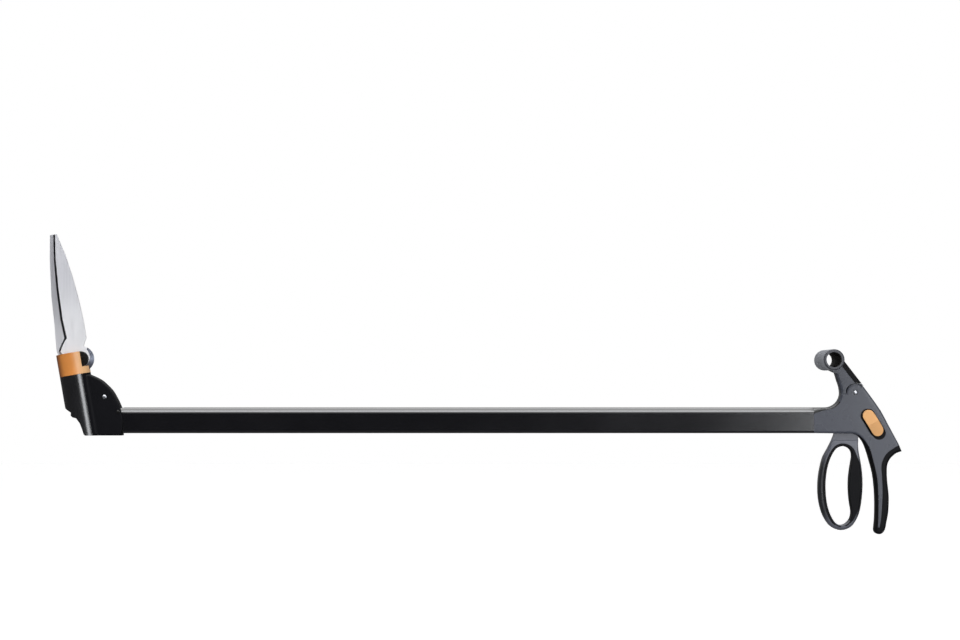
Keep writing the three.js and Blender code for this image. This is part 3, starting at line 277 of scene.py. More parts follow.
# Wear along edges: where a rounded normal leaves the true one, broken up.
edge_rub, rub_in, rub_out = group("edge rub", [
    ("Place", "NodeSocketVector", None), ("Reach", "NodeSocketFloat", rub_reach),
    ("Amount", "NodeSocketFloat", 0.5)],
    [("Mask", "NodeSocketFloat")])
true_normal = add(edge_rub, "ShaderNodeNewGeometry").outputs["Normal"]
rounded = add(edge_rub, "ShaderNodeBevel", {"Radius": rub_in["Reach"]}, samples=4)
agree = add(edge_rub, "ShaderNodeVectorMath", {
    0: true_normal, 1: rounded.outputs[0]}, operation="DOT_PRODUCT").outputs["Value"]
patches = add(edge_rub, "ShaderNodeTexNoise", {
    "Vector": rub_in["Place"], "Scale": 90.0, "Detail": 5.0, "Roughness": 0.7}).outputs[0]
worn = worked(edge_rub, "MULTIPLY", spanned(edge_rub, agree, *rub_bend),
              spanned(edge_rub, patches, *rub_patches))
edge_rub.links.new(worked(edge_rub, "MULTIPLY", worn, rub_in["Amount"]), rub_out["Mask"])


def object_place(tree):
    """The coordinates of the object itself."""
    return add(tree, "ShaderNodeTexCoord").outputs["Object"]


def mixed(tree, share, first, second):
    """A colour between two others."""
    return out(add(tree, "ShaderNodeMix", {
        "Factor": share, "A": first, "B": second}, data_type="RGBA"))


def surfaced(tree, colour, polish, roughness, spread, height, strength, depth):
    """Gives a surface its colour, a roughness that varies, and a fine relief."""
    surface = tree.nodes["Principled BSDF"].inputs
    rough = spanned(tree, polish, *noise_span, roughness - spread, roughness + spread)
    bump = add(tree, "ShaderNodeBump", {"Height": height, "Strength": strength, "Distance": depth})
    tree.links.new(colour, surface["Base Color"])
    tree.links.new(rough, surface["Roughness"])
    tree.links.new(bump.outputs[0], surface["Normal"])


def skinned(name, colour, worn_colour, roughness, grain, depth, wear, cloud, spread=0.05,
            coat=0.0, coat_roughness=0.2, gloss=0.5):
    """A moulded or painted finish: tone and roughness clouded, edges a little worn."""
    material, tree = begun(name, {
        "Coat Weight": coat, "Coat Roughness": coat_roughness, "Specular IOR Level": gloss})
    place = object_place(tree)
    skin = add(tree, "ShaderNodeGroup", {
        "Place": place, "Grain": grain, "Cloud": cloud}, node_tree=moulded_skin).outputs
    rub = add(tree, "ShaderNodeGroup", {"Place": place, "Amount": wear}, node_tree=edge_rub)
    dark, pale = ([min(1, part * scale) for part in colour[:3]] + [1]
                  for scale in (cloud_dark, cloud_pale))
    toned = mixed(tree, skin["Tone"], dark, pale)
    rubbed = mixed(tree, rub.outputs["Mask"], toned, worn_colour)
    surfaced(tree, rubbed, skin["Tone"], roughness, spread, skin["Height"], skin_relief, depth)
    return material


painted_tube = skinned(
    "painted tube", paint_black, worn_paint, roughness=0.19, grain=700, depth=0.00002,
    wear=0.2, cloud=9, spread=0.03, coat=0.7, coat_roughness=0.16, gloss=0.6)
tube_low, tube_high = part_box("shaft_tube")
rim_at = tube_high[0]
shaft_height = tube_high[2] - tube_low[2]
half_width = tube_high[1]
shaft_round = 0.008
lower_round = 0.003
off_round = 0.0002
shaft_form = merged("shaft_tube")
for vert in shaft_form.verts:
    inward = half_width - abs(vert.co.y)
    if max(inward, vert.co.z) > shaft_round + off_round:
        continue
    turn = math.atan2(shaft_round - vert.co.z, shaft_round - inward)
    from_middle = math.hypot(shaft_round - vert.co.z, shaft_round - inward)
    if abs(from_middle - shaft_round) < off_round:
        inward = lower_round * (1 - math.cos(turn))
        vert.co.y = math.copysign(half_width - inward, vert.co.y)
        vert.co.z = lower_round * (1 - math.sin(turn))
shaft = settled(shaft_form, "shaft", painted_tube)
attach(shaft, "frame")
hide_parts("shaft_tube")

# Head shells
# Two halves of moulded black plastic screwed together round the shaft's end.
# The barrel in front carries the swivel; the rounded web behind it the bellcrank.
head_black = (0.0034, 0.0034, 0.0048, 1)
head_plastic = skinned(
    "head plastic", head_black, (0.03, 0.03, 0.033, 1), roughness=0.26, grain=1100, depth=0.000008,
    wear=0.1, cloud=22, coat=1.0, coat_roughness=0.25, gloss=0.85)
web_plastic = skinned(
    "web plastic", head_black, (0.01, 0.01, 0.011, 1), roughness=0.5, grain=1100, depth=0.000008,
    wear=0.1, cloud=22, gloss=0.1)
web_start = -0.4803
web_lean = 0.184


def refaced(piece, material, chosen):
    """Gives a further material to the faces of a piece that pass a test."""
    piece.data.materials.append(material)
    for face in piece.data.polygons:
        if chosen(face):
            face.material_index = len(piece.data.materials) - 1


for side in ("left", "right"):
    shell = settled(merged(f"head_shell_{side}"), f"head_half_{side}", head_plastic)
    refaced(shell, web_plastic,
            lambda face: face.center.x > web_start - web_lean * face.center.z)
    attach(shell, "frame")
    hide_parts(f"head_shell_{side}")

# Swivel collar
# A turned ring of orange plastic on top of the barrel. It grips the blade
# carrier and turns with it; a window on one side clears the moving blade's heel.
orange = (0.615, 0.215, 0.033, 1)
painted_highlight_orange = (0.80, 0.50, 0.25, 1)
painted_shade_orange = (0.22, 0.06, 0.012, 1)
orange_plastic = skinned(
    "orange plastic", orange, (0.72, 0.33, 0.10, 1), roughness=0.42, grain=1300, depth=0.00001,
    wear=0.3, cloud=30, coat=0.6, coat_roughness=0.35)
collar_middle_z = 0.0825
collar_lean = 0.17
collar_shade_span = (-0.5175, -0.5260)
collar_highlight_span = (-0.509, -0.491)
most_highlight = 0.8
most_shade = 0.9


def place_in(tree):
    """The X, Y and Z sockets of the object's own coordinates."""
    return add(tree, "ShaderNodeSeparateXYZ", {0: object_place(tree)}).outputs


def ramped(tree, value, none_at, all_at, most=1.0):
    """A share that rises smoothly from nothing to its most between two values."""
    return spanned(tree, value, none_at, all_at, high=most, interpolation_type="SMOOTHSTEP")


def tinted(material, share, colour):
    """Mixes a colour into a material's own by a share."""
    tree = material.node_tree
    base = tree.nodes["Principled BSDF"].inputs["Base Color"]
    tree.links.new(mixed(tree, share, base.links[0].from_socket, colour), base)


# A paler orange is painted across the collar's right side as a painted highlight, and a deep
# orange down its left edge as a painted shade, both slanting with the barrel.
tree = orange_plastic.node_tree
place = place_in(tree)
lifted = worked(tree, "SUBTRACT", place["Z"], collar_middle_z)
around = worked(tree, "ADD", place["X"], worked(tree, "MULTIPLY", lifted, collar_lean))
tinted(orange_plastic, ramped(tree, around, *collar_highlight_span, most_highlight), painted_highlight_orange)
tinted(orange_plastic, ramped(tree, around, *collar_shade_span, most_shade), painted_shade_orange)
collar = settled(merged("swivel_collar"), "collar", orange_plastic)
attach(collar, "swivel_head")
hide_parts("swivel_collar")

# Blade carrier
# The black plastic post that the fixed blade is riveted to. It is held in the
# collar and turns with it on the barrel.
carrier = settled(merged("blade_carrier"), "carrier", head_plastic)
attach(carrier, "swivel_head")
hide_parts("blade_carrier")

# Blades
# Two flat steel shear blades, ground along their length. Each has an edge
# ground on its outer face, and the front one swings on the pivot screw.
steel_white = (0.77, 0.77, 0.805, 1)
steel_shade = (0.715, 0.715, 0.75, 1)
painted_light_foot = (0.98, 0.98, 1.0, 1)
back_painted_light_foot = (0.82, 0.82, 0.85, 1)
front_light_span = (0.20, 0.125)
back_light_span = (0.175, 0.11)
along_blade = (1.0, 1.0, 0.022)
broad_share = 0.28
marks_span = (0.32, 0.68)
steel_spread = 0.06
steel_relief = 0.4
edge_land = 0.0006
blunt_tip = 0.001
edge_width_tip = 0.0026
edge_width_kink = 0.0034
edge_width_heel = 0.0026
edge_past_tip = 0.003
edge_past_heel = 0.002
wedge_lip = 0.0012
wedge_over = 0.35
least_miter = 0.3
cut_reach = 1e-7
ground_tilt = (0.2, 0.96)
blade_fold = math.radians(12)
pivot_low, pivot_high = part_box("blade_pivot_screw")
pivot_x = (pivot_low[0] + pivot_high[0]) / 2
pivot_z = (pivot_low[2] + pivot_high[2]) / 2
lobe_radius = 0.0162
rim_reach = 0.0004
lobe_top = math.radians(62)
lobe_foot = math.radians(-60)
lobe_slope_top = 0.0012
lobe_slope = 0.0068

# Grinding marks: noise drawn out along one direction, in two widths.
ground_marks, marks_in, marks_out = group("ground marks", [
    ("Place", "NodeSocketVector", None), ("Fine", "NodeSocketFloat", 1600.0),
    ("Draw", "NodeSocketVector", (1.0, 1.0, 0.03))],
    [("Height", "NodeSocketFloat"), ("Tone", "NodeSocketFloat")])
drawn = add(ground_marks, "ShaderNodeVectorMath", {
    0: marks_in["Place"], 1: marks_in["Draw"]}, operation="MULTIPLY").outputs[0]
narrow = add(ground_marks, "ShaderNodeTexNoise", {
    "Vector": drawn, "Scale": marks_in["Fine"], "Detail": 3.0, "Roughness": 0.65})
broad_scale = worked(ground_marks, "MULTIPLY", marks_in["Fine"], broad_share)
broad = add(ground_marks, "ShaderNodeTexNoise", {
    "Vector": drawn, "Scale": broad_scale, "Detail": 4.0, "Roughness": 0.6})
ground_marks.links.new(narrow.outputs[0], marks_out["Height"])
ground_marks.links.new(broad.outputs[0], marks_out["Tone"])


def ground_steel(name, pale, dark, roughness, fine, draw, depth, metallic=1.0):
    """Bright or plated steel with the marks of its grinding or turning."""
    material, tree = begun(name, {"Metallic": metallic})
    marks = add(tree, "ShaderNodeGroup", {
        "Place": object_place(tree), "Fine": fine, "Draw": draw}, node_tree=ground_marks).outputs
    toned = mixed(tree, spanned(tree, marks["Tone"], *marks_span), dark, pale)
    surfaced(tree, toned, marks["Height"], roughness, steel_spread, marks["Height"],
             steel_relief, depth)
    return material


def sides_of(line):
    """Each side of a closed line, as its two ends."""
    return list(zip(line, line[1:] + line[:1]))


def winding(line):
    """Twice the area in a closed line, with a sign that says which way it runs."""
    return sum(a[0] * b[1] - b[0] * a[1] for a, b in sides_of(line))


def all_outlines(form, level):
    """The closed lines in which a form is cut at a level of Y."""
    sliced = form.copy()
    cut = bmesh.ops.bisect_plane(
        sliced, geom=sliced.verts[:] + sliced.edges[:] + sliced.faces[:], dist=cut_reach,
        plane_co=(0, level, 0), plane_no=(0, 1, 0))["geom_cut"]
    edges = [item for item in cut if isinstance(item, bmesh.types.BMEdge)]
    loops = []
    while edges:
        line = list(edges.pop().verts)
        while line[-1] is not line[0]:
            step = next((one for one in line[-1].link_edges if one in edges), None)
            if step is None:
                break
            edges.remove(step)
            line.append(step.other_vert(line[-1]))
        loops.append([(vert.co.x, vert.co.z) for vert in line[:-1]])
    sliced.free()
    return loops


def carved(form, *cutters):
    """A form with other closed forms cut out of it."""
    parts = []
    for number, each in enumerate((form, *cutters)):
        mesh = bpy.data.meshes.new(f"carving {number}")
        each.to_mesh(mesh)
        each.free()
        parts.append(linked(f"carving {number}", mesh))
    for cutter in parts[1:]:
        saw = parts[0].modifiers.new("saw", "BOOLEAN")
        saw.operation = "DIFFERENCE"
        saw.solver = "EXACT"
        saw.object = cutter
    bpy.context.view_layer.update()
    depsgraph = bpy.context.evaluated_depsgraph_get()
    result = bmesh.new()
    result.from_mesh(parts[0].evaluated_get(depsgraph).to_mesh())
    for part in parts:
        bpy.data.objects.remove(part)
    return result


def lofted(rings, closed=False):
    """A solid skin through rings of places, capped unless the rings close up."""
    form = bmesh.new()
    rings = [[form.verts.new(place) for place in ring] for ring in rings]
    for first, second in sides_of(rings) if closed else zip(rings, rings[1:]):
        for corner in range(len(first)):
            after = (corner + 1) % len(first)
            form.faces.new((first[corner], first[after], second[after], second[corner]))
    if not closed:
        form.faces.new(rings[0])
        form.faces.new(rings[-1])
    bmesh.ops.recalc_face_normals(form, faces=form.faces)
    return form


def edge_cutter(line, inward, widths, outer, mate):
    """A long wedge that takes the ground edge off a blade's outer face."""
    land = mate + math.copysign(edge_land, outer - mate)
    rings = []
    for place, normal, width in zip(line, inward, widths):
        slope = (outer - land) / width
        past = outer + slope * width * wedge_over
        ring = [(-wedge_lip, land - slope * wedge_lip), (width * (1 + wedge_over), past),
                (-wedge_lip, past)]
        rings.append([(place[0] + normal[0] * reach, level, place[1] + normal[1] * reach)
                      for reach, level in ring])
    return lofted(rings)


def cutting_line(loop, toward, foot):
    """The run of an outline that faces one way along X above a height, tip first."""
    if winding(loop) < 0:
        loop = loop[::-1]
    count = len(loop)
    top = max(place[1] for place in loop)
    tips = [index for index in range(count) if loop[index][1] > top - blunt_tip]
    tip = max(tips, key=lambda index: loop[index][0] * toward)
    step = 1 if toward < 0 else -1
    line = [loop[tip]]
    for index in range(1, count):
        place = loop[(tip + step * index) % count]
        line.append(place)
        if place[1] < foot:
            break
    return line


def inward_normals(line, toward):
    """Unit normals into the blade at each point, lengthened at the bends."""
    ways = [(Vector(b) - Vector(a)).normalized() for a, b in zip(line, line[1:])]
    normals = []
    for before, after in zip([ways[0]] + ways, ways + [ways[-1]]):
        middle = (before + after).normalized()
        normal = Vector((-middle.y, middle.x))
        if normal.x * toward > 0:
            normal = -normal
        normals.append(normal / max(least_miter, middle.dot(before)))
    return normals


def lobe_cutter(loop, outer, mate):
    """A wedge that slopes the round heel off towards its lower right side."""
    arc = []
    for x, z in loop:
        turn = math.atan2(z - pivot_z, x - pivot_x)
        on_rim = abs(math.hypot(x - pivot_x, z - pivot_z) - lobe_radius) < rim_reach
        if on_rim and lobe_foot < turn < lobe_top:
            arc.append((turn, (x, z)))
    arc.sort(reverse=True)
    normals = [Vector((-math.cos(turn), -math.sin(turn))) for turn, place in arc]
    widths = [lobe_slope_top + (lobe_slope - lobe_slope_top) * math.sqrt(index / (len(arc) - 1))
              for index in range(len(arc))]
    return edge_cutter([place for turn, place in arc], normals, widths, outer, mate)


# The front blade's steel is painted paler towards its foot, a painted light.
blade_steel = ground_steel("ground blade steel", steel_white, steel_shade, roughness=0.50,
                           fine=1500, draw=along_blade, depth=0.00004)
tree = blade_steel.node_tree
tinted(blade_steel, ramped(tree, place_in(tree)["Z"], *front_light_span), painted_light_foot)
# The back blade's steel is darker than the front's, a painted shade cast by the front blade, and
# is painted paler towards its foot, a painted light.
back_steel_painted_shade = ground_steel("back blade steel painted shade", (0.56, 0.56, 0.59, 1), (0.49, 0.49, 0.52, 1),
                          roughness=0.46, fine=1500, draw=along_blade, depth=0.00004)
tree = back_steel_painted_shade.node_tree
tinted(back_steel_painted_shade, ramped(tree, place_in(tree)["Z"], *back_light_span), back_painted_light_foot)
# The slopes of the ground edges get dark steel, a painted reflection of the dim room in front.
edge_steel_painted_dark = ground_steel("ground edge steel painted dark", (0.17, 0.17, 0.185, 1), (0.09, 0.09, 0.10, 1),
                          roughness=0.30, fine=2200, draw=(0.05, 1.0, 1.0), depth=0.00003)
# The slope of the round heel gets a darker blue-grey steel, a painted shade.
heel_steel_painted_shade = ground_steel("heel steel painted shade", (0.20, 0.215, 0.26, 1), (0.13, 0.14, 0.175, 1),
                          roughness=0.38, fine=1800, draw=(1.0, 0.2, 1.0), depth=0.00003)


def ground_face(face, inside_lobe):
    """Whether a face is a ground slope, on the round heel or clear of it."""
    off_pivot = math.hypot(face.center.x - pivot_x, face.center.z - pivot_z)
    tilted = ground_tilt[0] < abs(face.normal.y) < ground_tilt[1]
    return tilted and (off_pivot < lobe_radius if inside_lobe else off_pivot > lobe_radius)


# Node, piece, body and steel; outer and meeting face in Y; the way along X that
# the cutting edge faces, and the height that it reaches down to.
for name, label, body, steel, outer, mate, toward, foot in [
        ("moving_blade", "front_blade", "blade", blade_steel, -0.0032, -0.0001, -1, 0.098),
        ("fixed_blade", "back_blade", "swivel_head", back_steel_painted_shade, 0.0032, 0.0001, 1, 0.108)]:
    form = merged(name)
    loop = max(all_outlines(form, (outer + mate) / 2), key=len)
    line = cutting_line(loop, toward, foot)
    kink = len(line) - 1
    if toward < 0:
        kink = max(range(len(line)), key=lambda index: line[index][0])
    widths = [edge_width_tip + (edge_width_kink - edge_width_tip) * (index / max(1, kink))
              if index <= kink else edge_width_heel for index in range(len(line))]
    start = Vector(line[0]) + (Vector(line[0]) - Vector(line[1])).normalized() * edge_past_tip
    finish = Vector(line[-1]) + (Vector(line[-1]) - Vector(line[-2])).normalized() * edge_past_heel
    line = [tuple(start)] + line + [tuple(finish)]
    widths = [widths[0]] + widths + [widths[-1]]
    cutters = [edge_cutter(line, inward_normals(line, toward), widths, outer, mate)]
    if toward < 0:
        cutters.append(lobe_cutter(loop, outer, mate))
    blade = settled(carved(form, *cutters), label, steel, blade_fold)
    refaced(blade, edge_steel_painted_dark, lambda face: ground_face(face, False) and face.center.z > foot)
    refaced(blade, heel_steel_painted_shade, lambda face: ground_face(face, True) and toward < 0)
    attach(blade, body)
    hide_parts(name)

# Pivot screw of the blades, with its washer and nut
# A blackened flat-headed screw that both blades turn on, locked by a nut behind.
# Its head shows in the collar's window.
crown_bow = 2.5


def sized_tree(name, sizes, result):
    """A Geometry Nodes tree that is given seats, sizes, a turn and a finish."""
    tree = bpy.data.node_groups.new(name, "GeometryNodeTree")
    kinds = {"Seats": "NodeSocketGeometry", **dict.fromkeys(sizes, "NodeSocketFloat"),
             "Turn": "NodeSocketVector", "Finish": "NodeSocketMaterial"}
    for label, kind in kinds.items():
        tree.interface.new_socket(label, in_out="INPUT", socket_type=kind)
    tree.interface.new_socket(result, in_out="OUTPUT", socket_type="NodeSocketGeometry")
    return tree, add(tree, "NodeGroupInput").outputs


def seated(tree, given, shape):
    """Ends such a tree: the shape on every seat, turned, realised and finished."""
    turned = out(add(tree, "FunctionNodeEulerToRotation", {0: given["Turn"]}))
    placed = out(add(tree, "GeometryNodeInstanceOnPoints", {
        "Points": given["Seats"], "Instance": shape, "Rotation": turned}))
    realised = out(add(tree, "GeometryNodeRealizeInstances", {"Geometry": placed}))
    finished = out(add(tree, "GeometryNodeSetMaterial", {
        "Geometry": realised, "Material": given["Finish"]}))
    add(tree, "NodeGroupOutput", {0: finished})


def vector_of(tree, x, y, z):
    """A vector from three numbers or sockets."""
    return out(add(tree, "ShaderNodeCombineXYZ", {"X": x, "Y": y, "Z": z}))


def shifted(tree, shape, height):
    """Geometry moved along Z."""
    move = vector_of(tree, 0.0, 0.0, height)
    return out(add(tree, "GeometryNodeTransform", {"Geometry": shape, "Translation": move}))


screw_tree, given = sized_tree("screws with a cross recess", [
    "Head Radius", "Head Height", "Crown", "Shank Radius", "Shank Length", "Recess Length",
    "Recess Width", "Recess Depth"], "Screws")
head = shifted(screw_tree, out(add(screw_tree, "GeometryNodeMeshCylinder", {
    "Vertices": 36, "Side Segments": 10, "Radius": given["Head Radius"],
    "Depth": given["Head Height"]})), worked(screw_tree, "MULTIPLY", given["Head Height"], -0.5))
position = out(add(screw_tree, "GeometryNodeInputPosition"))
level = add(screw_tree, "ShaderNodeSeparateXYZ", {0: position}).outputs["Z"]
crown_start = worked(screw_tree, "MULTIPLY", given["Crown"], -1.0)
bowed = worked(screw_tree, "POWER", spanned(screw_tree, level, crown_start, 0.0), crown_bow)
drawn_in = worked(screw_tree, "MULTIPLY", bowed, given["Crown"])
share = worked(screw_tree, "SUBTRACT", 1.0,
               worked(screw_tree, "DIVIDE", drawn_in, given["Head Radius"]))
crowned = add(screw_tree, "ShaderNodeVectorMath", {
    0: position, 1: vector_of(screw_tree, share, share, 1.0)}, operation="MULTIPLY").outputs[0]
head = out(add(screw_tree, "GeometryNodeSetPosition", {"Geometry": head, "Position": crowned}))
shank_middle = worked(screw_tree, "ADD", given["Shank Length"], given["Head Height"])
shank = shifted(screw_tree, out(add(screw_tree, "GeometryNodeMeshCylinder", {
    "Vertices": 24, "Radius": given["Shank Radius"], "Depth": given["Shank Length"]})),
    worked(screw_tree, "MULTIPLY", shank_middle, -0.5))
sunk = worked(screw_tree, "MULTIPLY", given["Recess Depth"], 2.0)
recess = add(screw_tree, "GeometryNodeMeshBoolean", operation="UNION")
for across, along in [("Recess Length", "Recess Width"), ("Recess Width", "Recess Length")]:
    bar = add(screw_tree, "GeometryNodeMeshCube", {
        "Size": vector_of(screw_tree, given[across], given[along], sunk)})
    screw_tree.links.new(out(bar), recess.inputs["Mesh 2"])
blank = add(screw_tree, "GeometryNodeMeshBoolean", operation="UNION")
for shape in (head, shank):
    screw_tree.links.new(shape, blank.inputs["Mesh 2"])
driven = add(screw_tree, "GeometryNodeMeshBoolean", {
    "Mesh 1": out(blank), "Mesh 2": out(recess)}, operation="DIFFERENCE")
seated(screw_tree, given, out(driven))


def grown(name, tree, seats, sizes, fold=sharp_fold):
    """A plain mesh piece grown by a Geometry Nodes tree on the points given."""
    ground = bpy.data.meshes.new(name)
    ground.from_pydata(seats, [], [])
    seed = linked(f"{name} seats", ground)
    maker = seed.modifiers.new("maker", "NODES")
    maker.node_group = tree
    sockets = {item.name: item.identifier for item in tree.interface.items_tree
               if item.in_out == "INPUT"}
    for label, value in sizes.items():
        maker[sockets[label]] = value
    bpy.context.view_layer.update()
    depsgraph = bpy.context.evaluated_depsgraph_get()
    made = bpy.data.meshes.new_from_object(seed.evaluated_get(depsgraph))
    form = bmesh.new()
    form.from_mesh(made)
    for face in form.faces:
        face.material_index = 0
    bpy.data.objects.remove(seed)
    bpy.data.meshes.remove(made)
    bmesh.ops.remove_doubles(form, verts=form.verts, dist=weld_reach)
    return settled(form, name, sizes["Finish"], fold)


def ends(name):
    """The middle of a node in X and Z, and its lowest and highest Y."""
    low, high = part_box(name)
    return (low[0] + high[0]) / 2, (low[2] + high[2]) / 2, low[1], high[1]


def refinished(material, *names):
    """Gives a material to CAD nodes that keep their shape."""
    for name in names:
        nodes[name].data.materials.clear()
        nodes[name].data.materials.append(material)


quarter = math.pi / 2
toward_camera = (quarter, 0.0, 0.0)
away_from_camera = (-quarter, 0.0, 0.0)
black_steel = ground_steel(
    "blackened steel", (0.035, 0.033, 0.032, 1), (0.012, 0.012, 0.012, 1),
    roughness=0.32, fine=1400, draw=(1.0, 0.3, 1.0), depth=0.00002, metallic=0.7)
zinc_steel = ground_steel(
    "zinc plated steel", (0.56, 0.57, 0.60, 1), (0.36, 0.37, 0.40, 1),
    roughness=0.34, fine=1200, draw=(1.0, 0.2, 1.0), depth=0.00002)
pivot_head_height = 3.4 * MM
middle_x, middle_z, front, back = ends("blade_pivot_screw")
pivot_screw = grown("pivot_screw", screw_tree, [(middle_x, front, middle_z)], {
    "Head Radius": 9.8 * MM, "Head Height": pivot_head_height, "Crown": 1.2 * MM,
    "Shank Radius": 3.5 * MM, "Shank Length": back - front - pivot_head_height,
    "Recess Length": 7 * MM, "Recess Width": 1.6 * MM, "Recess Depth": 1.8 * MM,
    "Turn": toward_camera, "Finish": black_steel})
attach(pivot_screw, "swivel_head")
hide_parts("blade_pivot_screw")
refinished(zinc_steel, "pivot_washer", "pivot_nut")

# Detent of the swivel
# A steel ball, pushed by a small coiled spring into the barrel's wall, that
# clicks the head into its turned places.
spring_tree, given = sized_tree(
    "coiled springs", ["Coil Radius", "Wire Radius", "Length", "Coils"], "Springs")
centre_radius = worked(spring_tree, "SUBTRACT", given["Coil Radius"], given["Wire Radius"])
thickness = worked(spring_tree, "MULTIPLY", given["Wire Radius"], 2.0)
coil = shifted(spring_tree, out(add(spring_tree, "GeometryNodeCurveSpiral", {
    "Resolution": 20, "Rotations": given["Coils"], "Start Radius": centre_radius,
    "End Radius": centre_radius,
    "Height": worked(spring_tree, "SUBTRACT", given["Length"], thickness)})), given["Wire Radius"])
wire = out(add(spring_tree, "GeometryNodeCurvePrimitiveCircle", {
    "Resolution": 10, "Radius": given["Wire Radius"]}))
wound = out(add(spring_tree, "GeometryNodeCurveToMesh", {
    "Curve": coil, "Profile Curve": wire, "Fill Caps": True}))
seated(spring_tree, given, wound)

spring_steel = ground_steel(
    "spring steel", (0.42, 0.42, 0.44, 1), (0.25, 0.25, 0.27, 1),
    roughness=0.30, fine=1600, draw=(1.0, 1.0, 1.0), depth=0.00001)
middle_x, middle_z, front, back = ends("detent_spring")
low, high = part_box("detent_spring")
detent = grown("detent_coil", spring_tree, [(middle_x, front, middle_z)], {
    "Coil Radius": (high[0] - low[0]) / 2, "Wire Radius": 0.3 * MM, "Length": back - front,
    "Coils": 5.0, "Turn": away_from_camera, "Finish": spring_steel})
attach(detent, "swivel_head")
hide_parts("detent_spring")
refinished(zinc_steel, "detent_ball")

# Drive inside the head
# A zinc-plated steel bellcrank turns the rod's pull into the plunger's lift;
# the nylon plunger's tongue moves the front blade by a pin.
refinished(zinc_steel, "bellcrank", "drive_pin")
pale_nylon = skinned(
    "pale nylon", (0.66, 0.645, 0.585, 1), (0.70, 0.69, 0.64, 1),
    roughness=0.42, grain=900, depth=0.00002, wear=0.2, cloud=24)
refinished(pale_nylon, "drive_plunger")

# Pins and rivets through the head and the carrier
# Plain steel pins with domed ends: the bellcrank's pivot, the pin that holds the
# shaft in the shells, and the rivet that holds the fixed blade.
dome_height = 0.5 * MM
dome_fold = math.radians(40)
rivet_tree, given = sized_tree("domed rivets", ["Radius", "Length", "Dome"], "Rivets")
half_length = worked(rivet_tree, "MULTIPLY", given["Length"], 0.5)
position = out(add(rivet_tree, "GeometryNodeInputPosition"))
split = add(rivet_tree, "ShaderNodeSeparateXYZ", {0: position}).outputs
wide = worked(rivet_tree, "MULTIPLY", split["X"], split["X"])
deep = worked(rivet_tree, "MULTIPLY", split["Y"], split["Y"])
from_axis = worked(rivet_tree, "SQRT", worked(rivet_tree, "ADD", wide, deep))
outwards = worked(rivet_tree, "DIVIDE", from_axis, given["Radius"])
fall = worked(rivet_tree, "MULTIPLY", worked(rivet_tree, "MULTIPLY", outwards, outwards),
              given["Dome"])
end_height = worked(rivet_tree, "MULTIPLY", worked(rivet_tree, "SIGN", split["Z"]),
                    worked(rivet_tree, "SUBTRACT", half_length, fall))
rod = out(add(rivet_tree, "GeometryNodeMeshCylinder", {
    "Vertices": 28, "Fill Segments": 5, "Radius": given["Radius"], "Depth": given["Length"]}))
domed = out(add(rivet_tree, "GeometryNodeSetPosition", {
    "Geometry": rod, "Position": vector_of(rivet_tree, split["X"], split["Y"], end_height)}))
seated(rivet_tree, given, domed)


def riveted(label, name, finish):
    """A domed rivet in the place of a pin's node."""
    low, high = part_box(name)
    return grown(label, rivet_tree, [tuple((low + high) / 2)], {
        "Radius": (high[0] - low[0]) / 2, "Length": high[1] - low[1], "Dome": dome_height,
        "Turn": toward_camera, "Finish": finish}, dome_fold)


for name, label, body, finish, slot in [
        ("bellcrank_pin", "head_rivet", "frame", zinc_steel, "plain_steel"),
        ("tube_pin", "shaft_rivet", "frame", black_steel, "black_steel"),
        ("carrier_rivet", "blade_rivet", "swivel_head", zinc_steel, "plain_steel")]:
    rivet = riveted(label, name, finish)
    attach(rivet, body)
    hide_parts(name)

# Screws of the head and the handle
# Zinc-plated screws that pull each pair of shells together from the right-hand
# side, and the one that holds the shaft's rear end.
screw_sizes = {
    "Head Radius": 3 * MM, "Head Height": 1.8 * MM, "Crown": 0.5 * MM, "Shank Radius": 1.5 * MM,
    "Recess Length": 3.6 * MM, "Recess Width": 0.9 * MM, "Recess Depth": 1.2 * MM,
    "Turn": away_from_camera, "Finish": zinc_steel}
screw_sets = {
    "head_screws": ["head_screw_1", "head_screw_2", "head_screw_3"],
    "handle_screws": ["handle_screw_1", "handle_screw_2", "handle_screw_3"],
    "grip_screws": ["handle_screw_4", "handle_screw_5"],
    "shaft_end_screw": ["shaft_screw"]}
for label, names in screw_sets.items():
    seats = []
    for name in names:
        middle_x, middle_z, front, back = ends(name)
        seats.append((middle_x, back, middle_z))
    shank_length = back - front - screw_sizes["Head Height"]
    screws = grown(label, screw_tree, seats, {**screw_sizes, "Shank Length": shank_length})
    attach(screws, "frame")
    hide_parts(*names)

# Pull rod, its clevises, guides and return spring
# A steel rod inside the shaft, led by three nylon blocks. The coiled spring
# pushes it forward, which opens the blades.
refinished(zinc_steel, "pull_rod", "rear_clevis", "front_clevis", "rear_clevis_pin",
           "front_clevis_pin", "spring_collar", "spring_seat")
refinished(pale_nylon, "rod_guide_1", "rod_guide_2", "rod_guide_3", "trigger_bush")
low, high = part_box("return_spring")
spring_middle = (low + high) / 2
along_shaft = (0.0, quarter, 0.0)
spring = grown("return_coil", spring_tree, [(low[0], spring_middle[1], spring_middle[2])], {
    "Coil Radius": (high[2] - low[2]) / 2, "Wire Radius": 0.8 * MM, "Length": high[0] - low[0],
    "Coils": 15.0, "Turn": along_shaft, "Finish": spring_steel})
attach(spring, "rod")
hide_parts("return_spring")

